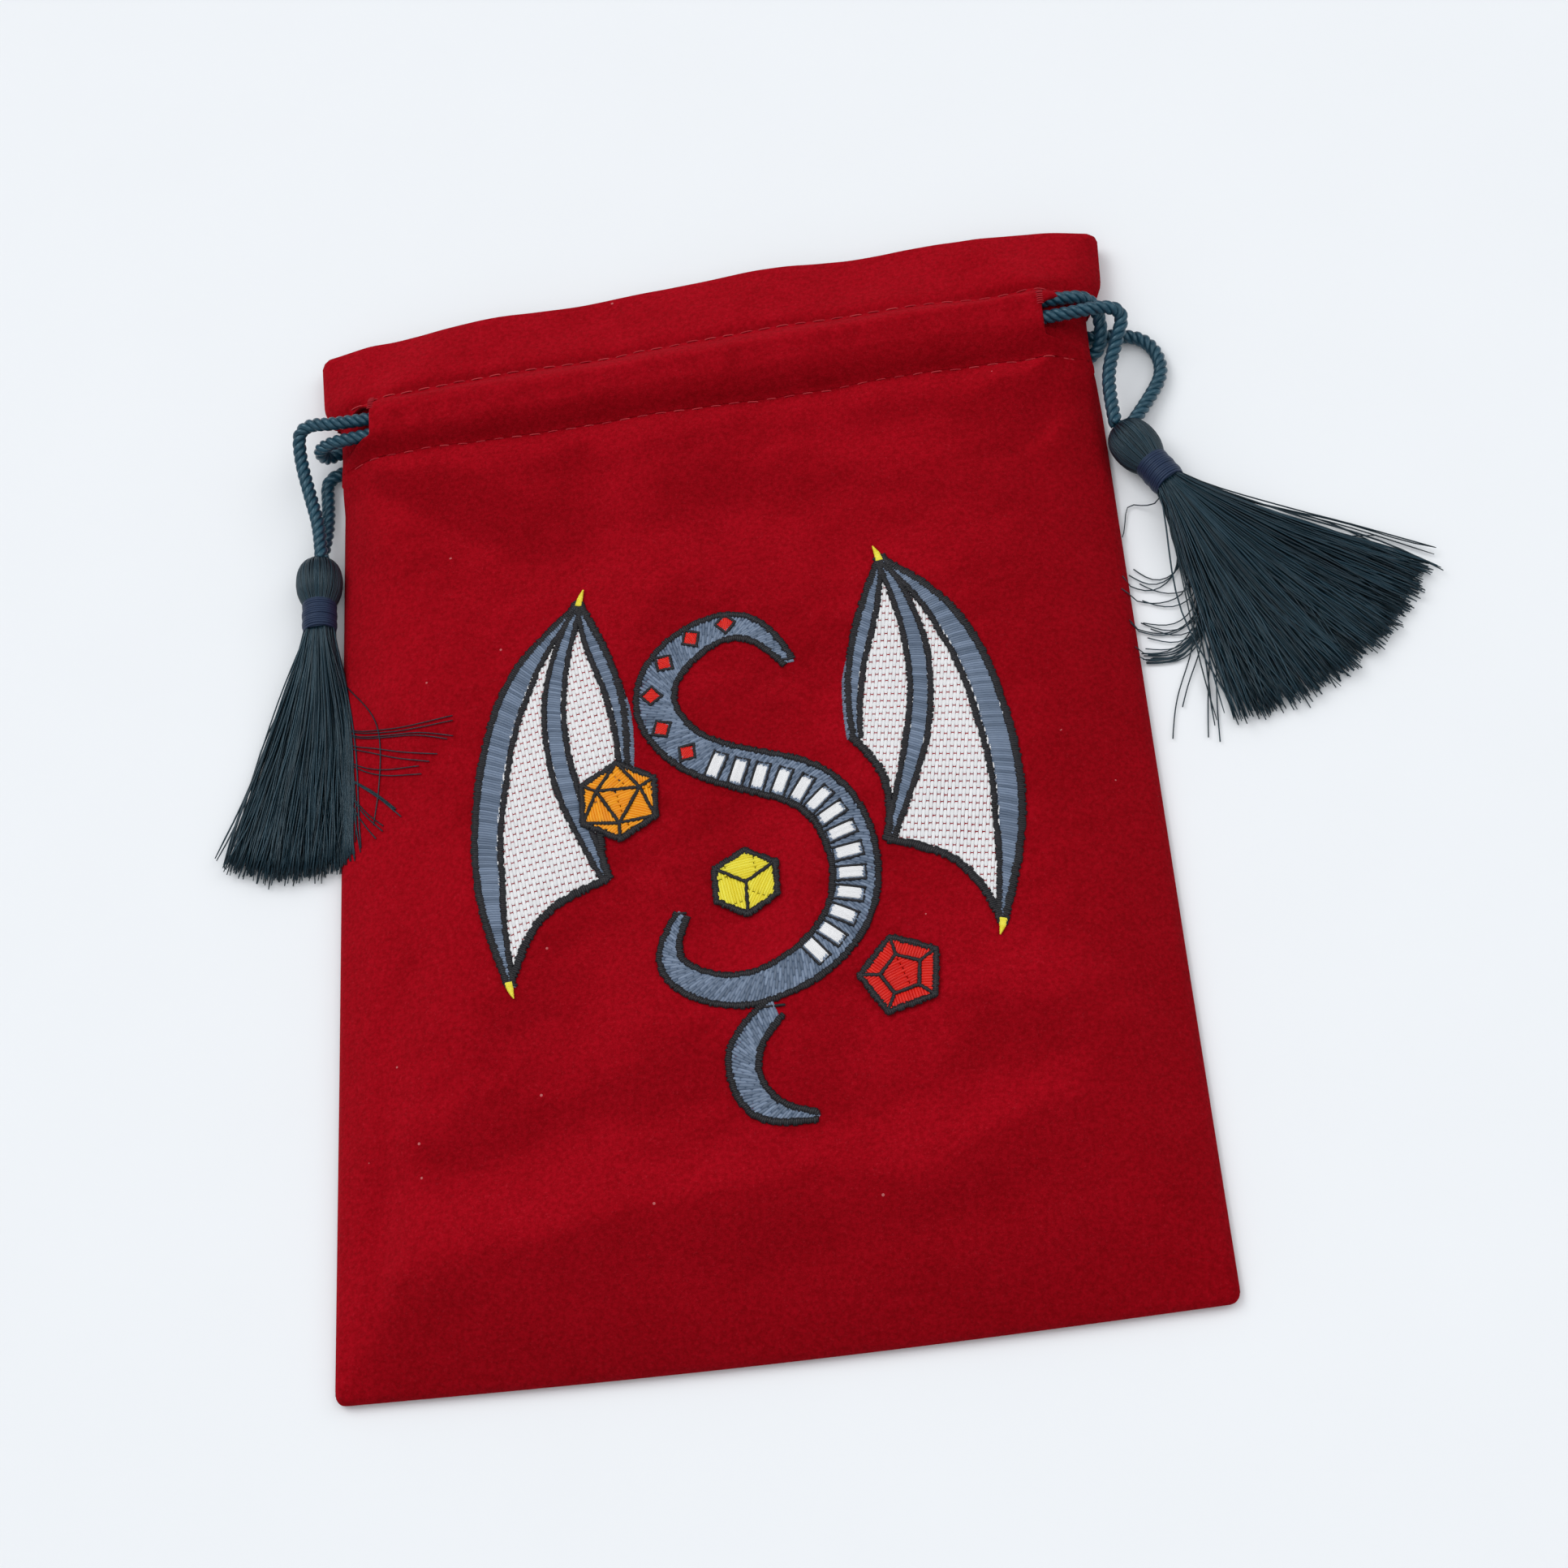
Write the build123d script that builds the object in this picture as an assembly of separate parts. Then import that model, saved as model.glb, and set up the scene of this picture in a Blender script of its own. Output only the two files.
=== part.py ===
"""Drawstring dice bag: a flat velvet pouch with an embroidered front, a sewn casing round its mouth,
two twisted cords that draw it shut and a thread tassel on each cord.  Millimetres, +Z up.

The bag lies on its back panel at z = 0.  X runs across the bag, Y runs from its bottom to its mouth, and
the origin is the middle of the bag on the surface that it rests on.
"""
from build123d import *
import math
import os

# --- driving dimensions -------------------------------------------------------------------------------
BAG_HEIGHT = 180.0
BAG_HALF_BOTTOM = 65.0          # half the width at the bottom edge
BAG_HALF_SHOULDER = 62.4        # half the width just under the casing
CLOTH = 0.6                     # one layer of velvet
GAP = 0.05                      # between layers that are sewn together
CORD = 2.2                      # twisted cord, diameter
CORD_SLACK = 0.15               # between a cord and the cloth round it

LOWER_ROW = 65.2                # y of the stitch row under the casing
UPPER_ROW = 76.6                # y of the stitch row over the casing
HEM_START = 60.0                # y where the turned-in hem begins, inside the bag
TOP = BAG_HEIGHT / 2
BOTTOM = -BAG_HEIGHT / 2
HEM_TUCK = 4.0                  # how far the hem's inner part ends from the slits
FOLD = 0.6                      # depth of the fold along the mouth
SLIT = 55.5                     # half the width of the casing's outer layer, which ends in a slit
MOUTH_HALF = 61.9               # half the width of the inner layer, where the mouth's sides are sewn
HEADER_HALF = 65.2              # half the width of the doubled edge over the casing
MOUTH_GAP = 4.6                 # height of the way in

# --- heights that follow from the layers --------------------------------------------------------------
LAYER = CLOTH + GAP
BACK_CORD_Z = CLOTH + CORD_SLACK + CORD / 2
BACK_HEM_Z = CLOTH + CORD + 2 * CORD_SLACK
FRONT_HEM_Z = BACK_HEM_Z + CLOTH + MOUTH_GAP
FRONT_CORD_Z = FRONT_HEM_Z + CLOTH + CORD_SLACK + CORD / 2
CASING_Z = FRONT_CORD_Z + CORD / 2 + CORD_SLACK
PANEL_Z = FRONT_HEM_Z + CLOTH   # underside of the front panel over the pocket
EDGE_DROP = 3.7                 # how far the front hem comes down to the mouth's sewn side
HEADER_DROP = 5.1               # the same for the header, which is wider
HOLLOW_Z = 2 * LAYER            # top of the doubled cloth on the back

SEAM_WIDTH = 1.4
MOUTH_SEAM_WIDTH = 0.7
SEAM_INSET = 1.6
RIM = 1.25                      # height of the front panel's sewn rim
PLATEAU_INSET = 9.5             # from the rim to the flat of the front panel
PLATEAU_BOTTOM_INSET = 10.5
CASING_RAMP = 0.7               # how far the casing takes to rise over the cords
HEM_RAMP = 0.6                  # the same for the layer over the back cords
CUT = 1.0                       # how far a cutting solid passes the face that it cuts

STITCH_LENGTH = 2.1
STITCH_PITCH = 3.0
STITCH_THICK = 0.25
ROW_OFFSET = 0.8                # from the casing's edge to the stitches beside it
ROW_END = 3.0                   # from the slit to the last stitch
TACK_INSET = 1.2                # from the slit to the bar of thread beside it
TACK_DROP = 2.6                 # from the upper row to the middle of that bar
TACK_WIDTH = 0.8
TACK_LENGTH = 3.0

THREAD = 0.22                   # one layer of embroidery
THREAD_GAP = 0.02
OUTLINE = 0.8                   # dark edge round each embroidered shape
EMBLEM_X = 1.5                  # middle of the embroidery
BACKING_Y = -13.0
BACKING_SIZE = (86.0, 93.0)     # stabiliser behind the embroidery

HEAD_R = 3.8                    # thread-covered tassel head
HEAD_Z = HEAD_R + 0.05
BEAD_R = 2.7                    # wooden bead in the head
BEAD_BORE = 1.6
KNOT_R = 1.3
BINDING_R = 2.8
BINDING_LENGTH = 4.8
NECK_R = 2.1
NECK_SHOW = 0.6                 # of the gathered threads, between the binding and the fan
SKIRT_THICK = 3.4
FAN_START = 4.4
CLEAR = 0.1

# centreline of each cord, from the tassel through the front, round the edge and back through the back
LEFT_ROUTE = [
    (-66.8, 49.3, 5.0), (-66.1, 54.5, 5.3), (-66.3, 60.6, 5.9), (-68.0, 68.2, 6.8), (-67.6, 72.8, 9.3),
    (-59.5, 71.0, FRONT_CORD_Z), (-1.0, 72.7, FRONT_CORD_Z), (57.6, 74.3, FRONT_CORD_Z),
    (64.3, 74.9, 7.6), (64.2, 67.4, 1.9), (57.6, 67.4, BACK_CORD_Z), (-1.0, 67.3, BACK_CORD_Z),
    (-58.5, 67.4, BACK_CORD_Z), (-65.2, 67.3, 1.7), (-64.2, 61.4, 1.8), (-65.0, 54.6, 2.4), (-64.7, 49.3, 2.9),
]
RIGHT_ROUTE = [
    (64.5, 52.3, 4.9), (64.2, 57.0, 5.1), (64.5, 62.4, 5.4), (66.6, 67.2, 6.4), (68.2, 71.0, 8.0),
    (65.2, 71.6, 9.8), (58.5, 70.8, FRONT_CORD_Z), (1.0, 69.6, FRONT_CORD_Z), (-58.5, 68.4, FRONT_CORD_Z),
    (-64.2, 68.6, 7.4), (-64.1, 71.4, 2.0), (-57.5, 71.4, BACK_CORD_Z), (1.0, 71.5, BACK_CORD_Z),
    (58.0, 71.4, BACK_CORD_Z), (66.5, 71.2, 1.6), (71.6, 69.4, 1.4), (73.4, 63.4, 1.4), (70.4, 58.0, 1.9),
    (66.6, 52.7, 2.9),
]

LEFT_HEAD = (-66.2, 45.0)
LEFT_AXIS = -90.0               # direction from the head to the skirt, in degrees from +X
LEFT_FAN = (-99.5, 18.0, 41.0)  # middle and width of the fan of threads, and its length
RIGHT_HEAD = (67.3, 48.2)
RIGHT_AXIS = -60.0
RIGHT_FAN = (-56.0, 50.0, 38.5)

parts = {}


# --- small tools --------------------------------------------------------------------------------------
def block(x0, x1, y0, y1, z0, z1):
    """A box between two corners."""
    box = Box(x1 - x0, y1 - y0, z1 - z0)
    return Pos((x0 + x1) / 2, (y0 + y1) / 2, (z0 + z1) / 2) * box


def strip(profile, thick, along, start, end):
    """Cloth whose underside follows profile, [(u, z), ...], and runs along X or Y from start to end."""
    outline = list(profile) + [(u, z + thick) for u, z in reversed(profile)]
    if along == "Y":
        corners = [(u, start, z) for u, z in outline]
        way = Vector(0, end - start, 0)
    else:
        corners = [(start, u, z) for u, z in outline]
        way = Vector(end - start, 0, 0)
    face = make_face(Polyline(*corners, close=True))
    return extrude(face, amount=way.length, dir=way.normalized())


def slab(corners, z, thick):
    """A flat sheet with straight edges."""
    face = make_face(Polyline(*[(x, y, z) for x, y in corners], close=True))
    return extrude(face, amount=thick, dir=(0, 0, 1))


def edge_x(y):
    """Half the width of the bag's body at y."""
    share = (LOWER_ROW - y) / (LOWER_ROW - BOTTOM)
    return BAG_HALF_SHOULDER + (BAG_HALF_BOTTOM - BAG_HALF_SHOULDER) * share


def body_outline(top, side_inset=0.0, low_inset=0.0):
    """The bag's corners below top, drawn in from its sides and its bottom edge."""
    low = BOTTOM + low_inset
    upper = edge_x(top) - side_inset
    lower = edge_x(low) - side_inset
    return [(-upper, top), (upper, top), (lower, low), (-lower, low)]


# --- the two panels -----------------------------------------------------------------------------------
def back_panel():
    return slab(body_outline(LOWER_ROW - GAP), 0, CLOTH)


def tray(top, drop):
    """A raised solid with sloping sides: flat over the pocket, upright at the mouth."""
    foot = body_outline(top)
    flat = body_outline(top, PLATEAU_INSET, PLATEAU_BOTTOM_INSET)
    base = make_face(Polyline(*[(x, y, RIM - drop) for x, y in foot], close=True))
    roof = make_face(Polyline(*[(x, y, PANEL_Z + CLOTH - drop) for x, y in flat], close=True))
    return loft([base, roof])


def front_panel():
    top = LOWER_ROW - 2 * GAP
    outer = tray(top, 0)
    inner = tray(top + CUT, CLOTH)
    shell = outer - inner
    seam = SEAM_INSET + SEAM_WIDTH
    rim_outer = slab(body_outline(top), RIM, CLOTH)
    rim_inner = slab(body_outline(top + CUT, seam, seam), RIM - CUT, CLOTH + 2 * CUT)
    rim = (rim_outer - rim_inner) - inner
    return shell + rim


# --- the mouth ----------------------------------------------------------------------------------------
def front_profile(half, drop, z):
    """Flat across the bag and down to the sewn sides."""
    return [(-half, z - drop), (-SLIT, z), (SLIT, z), (half, z - drop)]


def front_hem():
    half = SLIT - HEM_TUCK
    low = strip([(-half, FRONT_HEM_Z), (half, FRONT_HEM_Z)], CLOTH, "Y", HEM_START, LOWER_ROW)
    ring = strip(front_profile(MOUTH_HALF, EDGE_DROP, FRONT_HEM_Z), CLOTH, "Y", LOWER_ROW, TOP - FOLD - GAP)
    return low + ring


def front_header():
    outer = front_profile(HEADER_HALF, HEADER_DROP, FRONT_HEM_Z + LAYER)
    inner = front_profile(HEADER_HALF, HEADER_DROP, FRONT_HEM_Z)
    over = strip(outer, CLOTH, "Y", UPPER_ROW, TOP)
    fold = strip(inner, LAYER + CLOTH / 2, "Y", TOP - FOLD, TOP)
    return over + fold


def front_casing():
    sole = FRONT_HEM_Z + LAYER
    start = LOWER_ROW
    end = UPPER_ROW - GAP
    profile = [(start, sole), (start + CASING_RAMP, CASING_Z), (end - CASING_RAMP, CASING_Z), (end, sole)]
    return strip(profile, CLOTH, "X", -SLIT, SLIT)


def back_hem():
    profile = [
        (HEM_START, LAYER), (LOWER_ROW, LAYER), (LOWER_ROW + HEM_RAMP, BACK_HEM_Z),
        (UPPER_ROW - HEM_RAMP, BACK_HEM_Z), (UPPER_ROW, LAYER), (TOP - FOLD - GAP, LAYER),
    ]
    return strip(profile, CLOTH, "X", -MOUTH_HALF, MOUTH_HALF)


def back_header():
    over = block(-HEADER_HALF, HEADER_HALF, UPPER_ROW, TOP, 0, CLOTH)
    fold = block(-HEADER_HALF, HEADER_HALF, TOP - FOLD, TOP, 0, LAYER + CLOTH)
    return over + fold


def back_casing():
    return block(-SLIT, SLIT, LOWER_ROW, UPPER_ROW - GAP, 0, CLOTH)


def side_of_mouth(sign):
    """Where front and back are sewn together up the side of the mouth."""
    roof = FRONT_HEM_Z - EDGE_DROP - GAP
    sole = BACK_HEM_Z + LAYER
    start = LOWER_ROW + ROW_OFFSET
    end = TOP - FOLD - 2 * GAP
    corners = [
        (start, sole), (UPPER_ROW, sole), (UPPER_ROW + HEM_RAMP, HOLLOW_Z),
        (end, HOLLOW_Z), (end, roof), (start, roof),
    ]
    inner = sign * (MOUTH_HALF - MOUTH_SEAM_WIDTH)
    face = make_face(Polyline(*[(inner, y, z) for y, z in corners], close=True))
    return extrude(face, amount=MOUTH_SEAM_WIDTH, dir=(sign, 0, 0))


# --- seams and stitches -------------------------------------------------------------------------------
def side_seam(sign):
    low = BOTTOM + SEAM_INSET + SEAM_WIDTH + GAP
    top = HEM_START - GAP
    rows = [(edge_x(low), low), (edge_x(top), top)]
    outer = [(sign * (x - SEAM_INSET), y) for x, y in rows]
    inner = [(sign * (x - SEAM_INSET - SEAM_WIDTH), y) for x, y in reversed(rows)]
    return slab(outer + inner, LAYER, RIM - CLOTH - 2 * GAP)


def bottom_seam():
    low = BOTTOM + SEAM_INSET
    half = edge_x(low) - SEAM_INSET
    return block(-half, half, low, low + SEAM_WIDTH, LAYER, RIM - GAP)


def stitch_row(y, z):
    """One row of machine stitches from slit to slit."""
    half = SLIT - ROW_END
    count = int(2 * half / STITCH_PITCH)
    first = -(count - 1) * STITCH_PITCH / 2
    row = []
    for index in range(count):
        start = first + index * STITCH_PITCH - STITCH_LENGTH / 2
        row.append(block(start, start + STITCH_LENGTH, y - STITCH_THICK, y + STITCH_THICK, z, z + STITCH_THICK))
    return Compound(children=row)


def slit_tack(sign):
    """A short bar of thread at the slit's upper corner."""
    x = sign * (SLIT - TACK_INSET)
    middle = UPPER_ROW - TACK_DROP
    half = TACK_LENGTH / 2
    z = CASING_Z + CLOTH + GAP
    return block(x - TACK_WIDTH / 2, x + TACK_WIDTH / 2, middle - half, middle + half, z, z + STITCH_THICK)


# --- embroidery ---------------------------------------------------------------------------------------
def ribbon(points, widths):
    """A flat band that follows points and swells and narrows with widths."""
    line = Spline(*[Vector(x, y, 0) for x, y in points])
    left = []
    right = []
    for index, width in enumerate(widths):
        share = index / (len(widths) - 1)
        here = line.position_at(share)
        ahead = line.tangent_at(share)
        across = Vector(-ahead.Y, ahead.X, 0) * (width / 2)
        left.append(here + across)
        right.append(here - across)
    sides = [Spline(*left), Line(left[-1], right[-1]), Spline(*reversed(right)), Line(right[0], left[0])]
    return make_face(sides)


def mirrored(points, sign):
    return [(EMBLEM_X + sign * x, y) for x, y in points]


WING_TIP = (24.0, 32.0)
WING_FOOT = (37.0, -32.0)
WING_POINT = (21.5, -16.5)
WING_ROOT = (17.5, 1.0)
LEADING_EDGE = [WING_TIP, (34.5, 21.0), (40.5, 4.0), (41.5, -14.0), WING_FOOT]
INNER_EDGE = [WING_ROOT, (17.5, 12.0), WING_TIP]
MIDDLE_SPAR = [WING_TIP, (28.0, 18.0), (27.5, 2.0), WING_POINT]
LOWER_SCALLOP = [WING_FOOT, (31.0, -21.0), WING_POINT]
ROOT_SCALLOP = [WING_POINT, (21.5, -6.0), WING_ROOT]
WING_EDGES = (LEADING_EDGE, LOWER_SCALLOP, ROOT_SCALLOP, INNER_EDGE)
SCROLL = [(10, 16), (3, 23), (-7, 20), (-11, 12), (-7, 4), (2, -1), (12, -6), (17, -15), (16, -27), (8, -35),
          (-3, -37), (-11, -31), (-9, -24)]
SCROLL_WIDTHS = [1.6, 4.0, 5.4, 6.0, 6.2, 6.6, 7.0, 7.0, 6.6, 6.0, 5.2, 4.0, 1.6]
TAIL = [(4, -41), (-1, -48), (1, -55), (9, -58)]
TAIL_WIDTHS = [3.4, 4.6, 4.0, 1.0]
DICE = {"orange": (-17.5, -4.0, 5.2, 6), "yellow": (1.0, -20.5, 4.6, 6), "red": (22.0, -37.5, 5.4, 5)}


def wing(sign):
    return make_face([Spline(*mirrored(points, sign)) for points in WING_EDGES])


def spars():
    faces = []
    for sign in (-1, 1):
        faces.append(ribbon(mirrored(LEADING_EDGE, sign), [1.2, 3.4, 3.6, 3.2, 1.2]))
        faces.append(ribbon(mirrored(MIDDLE_SPAR[1:], sign), [2.6, 2.8, 1.2]))
        faces.append(ribbon(mirrored([INNER_EDGE[0], INNER_EDGE[1], (21.0, 23.0)], sign), [2.0, 3.0, 2.4]))
    return faces


def beside_scroll(shares, offset, size):
    """Small pieces set along the scroll: offset to one side of its centreline, size long and wide."""
    line = Spline(*[Vector(x, y, 0) for x, y in SCROLL])
    faces = []
    for share in shares:
        here = line.position_at(share)
        ahead = line.tangent_at(share)
        across = Vector(-ahead.Y, ahead.X, 0)
        middle = here + across * offset
        angle = math.degrees(math.atan2(across.Y, across.X))
        faces.append(Pos(middle.X, middle.Y, 0) * Rot(0, 0, angle) * Rectangle(*size))
    return faces


def die(name, margin=0.0):
    x, y, radius, sides = DICE[name]
    return Pos(x, y, 0) * RegularPolygon(radius + margin, sides, rotation=30)


def level(number):
    """Height of the embroidery's layer with this number, from 0 on the cloth."""
    return PANEL_Z + CLOTH + THREAD_GAP + number * (THREAD + THREAD_GAP)


def thread_layer(faces, number):
    solids = []
    for face in faces:
        raised = Pos(0, 0, level(number)) * face
        solids.append(extrude(raised, amount=THREAD, dir=(0, 0, 1)))
    body = solids[0]
    for solid in solids[1:]:
        body = body + solid
    return body


def embroidery():
    wings = {sign: wing(sign) for sign in (-1, 1)}
    scroll = ribbon(SCROLL, SCROLL_WIDTHS)
    tail = ribbon(TAIL, TAIL_WIDTHS)
    dice = {name: die(name) for name in DICE}
    outline = [ribbon(SCROLL, [width + 2 * OUTLINE for width in SCROLL_WIDTHS])]
    outline.append(ribbon(TAIL, [width + 2 * OUTLINE for width in TAIL_WIDTHS]))
    outline += [die(name, OUTLINE) for name in DICE]
    for sign in (-1, 1):
        for edge in WING_EDGES:
            outline.append(ribbon(mirrored(edge, sign), [2 * OUTLINE] * len(edge)))
    rungs = beside_scroll([0.38 + 0.036 * step for step in range(10)], -1.0, (3.4, 1.3))
    trim = beside_scroll([0.10 + 0.045 * step for step in range(6)], -1.2, (1.6, 1.8))
    tips = [Pos(x, y, 0) * Circle(0.7) for sign in (-1, 1) for x, y in mirrored([WING_TIP, WING_FOOT], sign)]
    backing = Pos(EMBLEM_X, BACKING_Y, PANEL_Z - THREAD - GAP) * Rectangle(*BACKING_SIZE)
    parts["embroidery_backing"] = extrude(backing, amount=THREAD, dir=(0, 0, 1)) - parts["front_hem"]
    parts["embroidery_outline"] = thread_layer(outline, 0)
    parts["embroidery_wing_left"] = thread_layer([wings[-1]], 1)
    parts["embroidery_wing_right"] = thread_layer([wings[1]], 1)
    parts["embroidery_scroll"] = thread_layer([scroll, tail], 1)
    parts["embroidery_spars"] = thread_layer(spars(), 2)
    parts["embroidery_rungs"] = thread_layer(rungs, 2)
    parts["embroidery_trim"] = thread_layer(trim, 2)
    parts["embroidery_tips"] = thread_layer(tips, 3)
    for name, face in dice.items():
        parts[f"embroidery_die_{name}"] = thread_layer([face], 2 if name == "orange" else 1)


# --- cords --------------------------------------------------------------------------------------------
def corner_radii(route):
    """0.45 of the shorter run over the tangent of half the turn, one for each inner point."""
    points = [Vector(*point) for point in route]
    radii = []
    for before, here, after in zip(points, points[1:], points[2:]):
        first = here - before
        second = after - here
        half_turn = math.radians(first.get_angle(second)) / 2
        radii.append(0.45 * min(first.length, second.length) / math.tan(half_turn))
    return radii


def cord(name, route):
    radii = corner_radii(route)
    path = FilletPolyline(*route, radius=radii)
    section = Plane(origin=path @ 0, z_dir=path % 0) * Circle(CORD / 2)
    tube = sweep(section, path=path)
    expected = math.pi * (CORD / 2) ** 2 * path.length
    print(name, "length", round(path.length, 1), "radii", [round(radius, 1) for radius in radii])
    print(name, "volume", round(tube.volume, 1), "section times length", round(expected, 1))
    return tube


# --- tassels ------------------------------------------------------------------------------------------
def tassel(side, head, axis, fan):
    """Bead, thread cover, knot, binding and skirt, along an axis that lies flat."""
    place = Pos(head[0], head[1], HEAD_Z) * Rot(0, 0, axis) * Rot(0, 90, 0)
    bore = Cylinder(BEAD_BORE, 4 * HEAD_R)
    parts[f"tassel_{side}_bead"] = place * (Sphere(BEAD_R) - bore)
    parts[f"tassel_{side}_head"] = place * (Sphere(HEAD_R) - Sphere(BEAD_R + CLEAR) - bore)
    parts[f"tassel_{side}_knot"] = place * Sphere(KNOT_R)
    neck = HEAD_R - CLEAR
    middle = neck + BINDING_LENGTH / 2
    band = Cylinder(BINDING_R, BINDING_LENGTH) - Cylinder(NECK_R + CLEAR, 2 * BINDING_LENGTH)
    parts[f"tassel_{side}_binding"] = place * (Pos(0, 0, middle) * band - Sphere(HEAD_R + CLEAR))
    parts[f"tassel_{side}_skirt"] = skirt(head, axis, fan)


def skirt(head, axis, fan):
    """Threads gathered in the binding and fanned out flat beyond it."""
    angle = math.radians(axis)
    ahead = Vector(math.cos(angle), math.sin(angle), 0)
    centre = Vector(head[0], head[1], HEAD_Z)
    start = HEAD_R + CLEAR
    end = HEAD_R + BINDING_LENGTH + NECK_SHOW
    neck = Plane(origin=centre + ahead * start, z_dir=ahead) * Circle(NECK_R)
    neck = extrude(neck, amount=end - start + CLEAR, dir=ahead)
    gathered = centre + ahead * end
    middle, width, reach = fan
    way = Vector(math.cos(math.radians(middle)), math.sin(math.radians(middle)), 0)
    hem = gathered + way * reach
    hem = Vector(hem.X, hem.Y, SKIRT_THICK / 2 + CLEAR)
    spread = FAN_START + 2 * reach * math.tan(math.radians(width / 2))
    top = Plane(origin=gathered, x_dir=Vector(0, 0, 1), z_dir=way) * Rectangle(FAN_START, FAN_START)
    low = Plane(origin=hem, x_dir=Vector(0, 0, 1), z_dir=way) * Rectangle(SKIRT_THICK, spread)
    return neck + loft([top, low])


# --- the model ----------------------------------------------------------------------------------------
def build():
    parts["front_panel"] = front_panel()
    parts["back_panel"] = back_panel()
    parts["front_hem"] = front_hem()
    parts["back_hem"] = back_hem()
    parts["front_casing"] = front_casing()
    parts["back_casing"] = back_casing()
    parts["front_header"] = front_header()
    parts["back_header"] = back_header()
    parts["bottom_seam"] = bottom_seam()
    for side, sign in (("left", -1), ("right", 1)):
        parts[f"side_seam_{side}"] = side_seam(sign)
        parts[f"mouth_seam_{side}"] = side_of_mouth(sign)
        parts[f"slit_tack_{side}"] = slit_tack(sign)
    panel_top = PANEL_Z + CLOTH + GAP
    hollow = HOLLOW_Z + GAP
    lower = LOWER_ROW - ROW_OFFSET
    upper = UPPER_ROW + ROW_OFFSET
    parts["front_lower_stitches"] = stitch_row(lower, panel_top)
    parts["front_upper_stitches"] = stitch_row(upper, FRONT_HEM_Z + 2 * LAYER)
    parts["back_lower_stitches"] = stitch_row(lower, hollow)
    parts["back_upper_stitches"] = stitch_row(upper, hollow)
    embroidery()
    parts["drawstring_left"] = cord("drawstring_left", LEFT_ROUTE)
    parts["drawstring_right"] = cord("drawstring_right", RIGHT_ROUTE)
    tassel("left", LEFT_HEAD, LEFT_AXIS, LEFT_FAN)
    tassel("right", RIGHT_HEAD, RIGHT_AXIS, RIGHT_FAN)


build()
os.makedirs("parts", exist_ok=True)
for node, shape in parts.items():
    export_step(shape, f"parts/{node}.step")
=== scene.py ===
"""Drawstring dice bag: velvet, twisted cords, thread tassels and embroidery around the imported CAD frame."""
import math

import bpy
import numpy as np
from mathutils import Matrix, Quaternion, Vector


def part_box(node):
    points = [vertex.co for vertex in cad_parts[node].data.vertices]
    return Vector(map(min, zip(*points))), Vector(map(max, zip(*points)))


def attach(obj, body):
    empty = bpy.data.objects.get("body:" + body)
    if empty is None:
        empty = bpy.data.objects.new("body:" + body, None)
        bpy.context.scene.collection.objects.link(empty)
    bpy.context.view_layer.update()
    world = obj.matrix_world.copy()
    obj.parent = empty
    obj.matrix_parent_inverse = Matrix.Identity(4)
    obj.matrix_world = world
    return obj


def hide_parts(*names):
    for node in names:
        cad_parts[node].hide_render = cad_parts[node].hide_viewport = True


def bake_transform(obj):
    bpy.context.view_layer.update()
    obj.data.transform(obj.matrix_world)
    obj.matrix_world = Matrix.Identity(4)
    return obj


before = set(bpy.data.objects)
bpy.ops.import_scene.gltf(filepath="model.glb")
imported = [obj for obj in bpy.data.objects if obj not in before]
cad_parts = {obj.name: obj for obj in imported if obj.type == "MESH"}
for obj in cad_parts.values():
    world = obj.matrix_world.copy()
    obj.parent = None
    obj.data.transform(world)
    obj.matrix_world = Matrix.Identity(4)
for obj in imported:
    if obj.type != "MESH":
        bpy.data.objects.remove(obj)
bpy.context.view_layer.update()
MM = 0.001

# --- sizes read from the frame, in millimetres --------------------------------------------------------
def box_mm(node):
    low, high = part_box(node)
    return np.array(low) / MM, np.array(high) / MM


PANEL_LOW, PANEL_HIGH = box_mm("front_panel")
CASING_LOW, CASING_HIGH = box_mm("front_casing")
HEM_HIGH = box_mm("front_hem")[1]
HEADER_HIGH = box_mm("front_header")[1]

BOTTOM = PANEL_LOW[1]
TOP = HEADER_HIGH[1]
ROW_LOW = CASING_LOW[1]         # stitch row under the casing
ROW_HIGH = CASING_HIGH[1]       # stitch row over the casing
SLIT = CASING_HIGH[0]
MOUTH_HALF = HEM_HIGH[0]
HEADER_HALF = HEADER_HIGH[0]
BOTTOM_HALF = PANEL_HIGH[0]
CLOTH = 0.6
PLATEAU = PANEL_HIGH[2] - 0.45  # front cloth over the pocket
HEM_Z = HEM_HIGH[2]             # top of the layer under the front cords
BACK_HEM_Z = box_mm("back_hem")[1][2]      # inner side of the layer over the back cords
CASING_Z = CASING_HIGH[2] - 0.1
EDGE_Z = 1.25                   # where front and back meet along the body
PINCH_Z = 4.3                   # the same beside the casing
FLOOR_GAP = 0.04                # cloth over the surface that it lies on
SIDES = (("left", -1), ("right", 1))       # each side's name and the sign of its x

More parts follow.
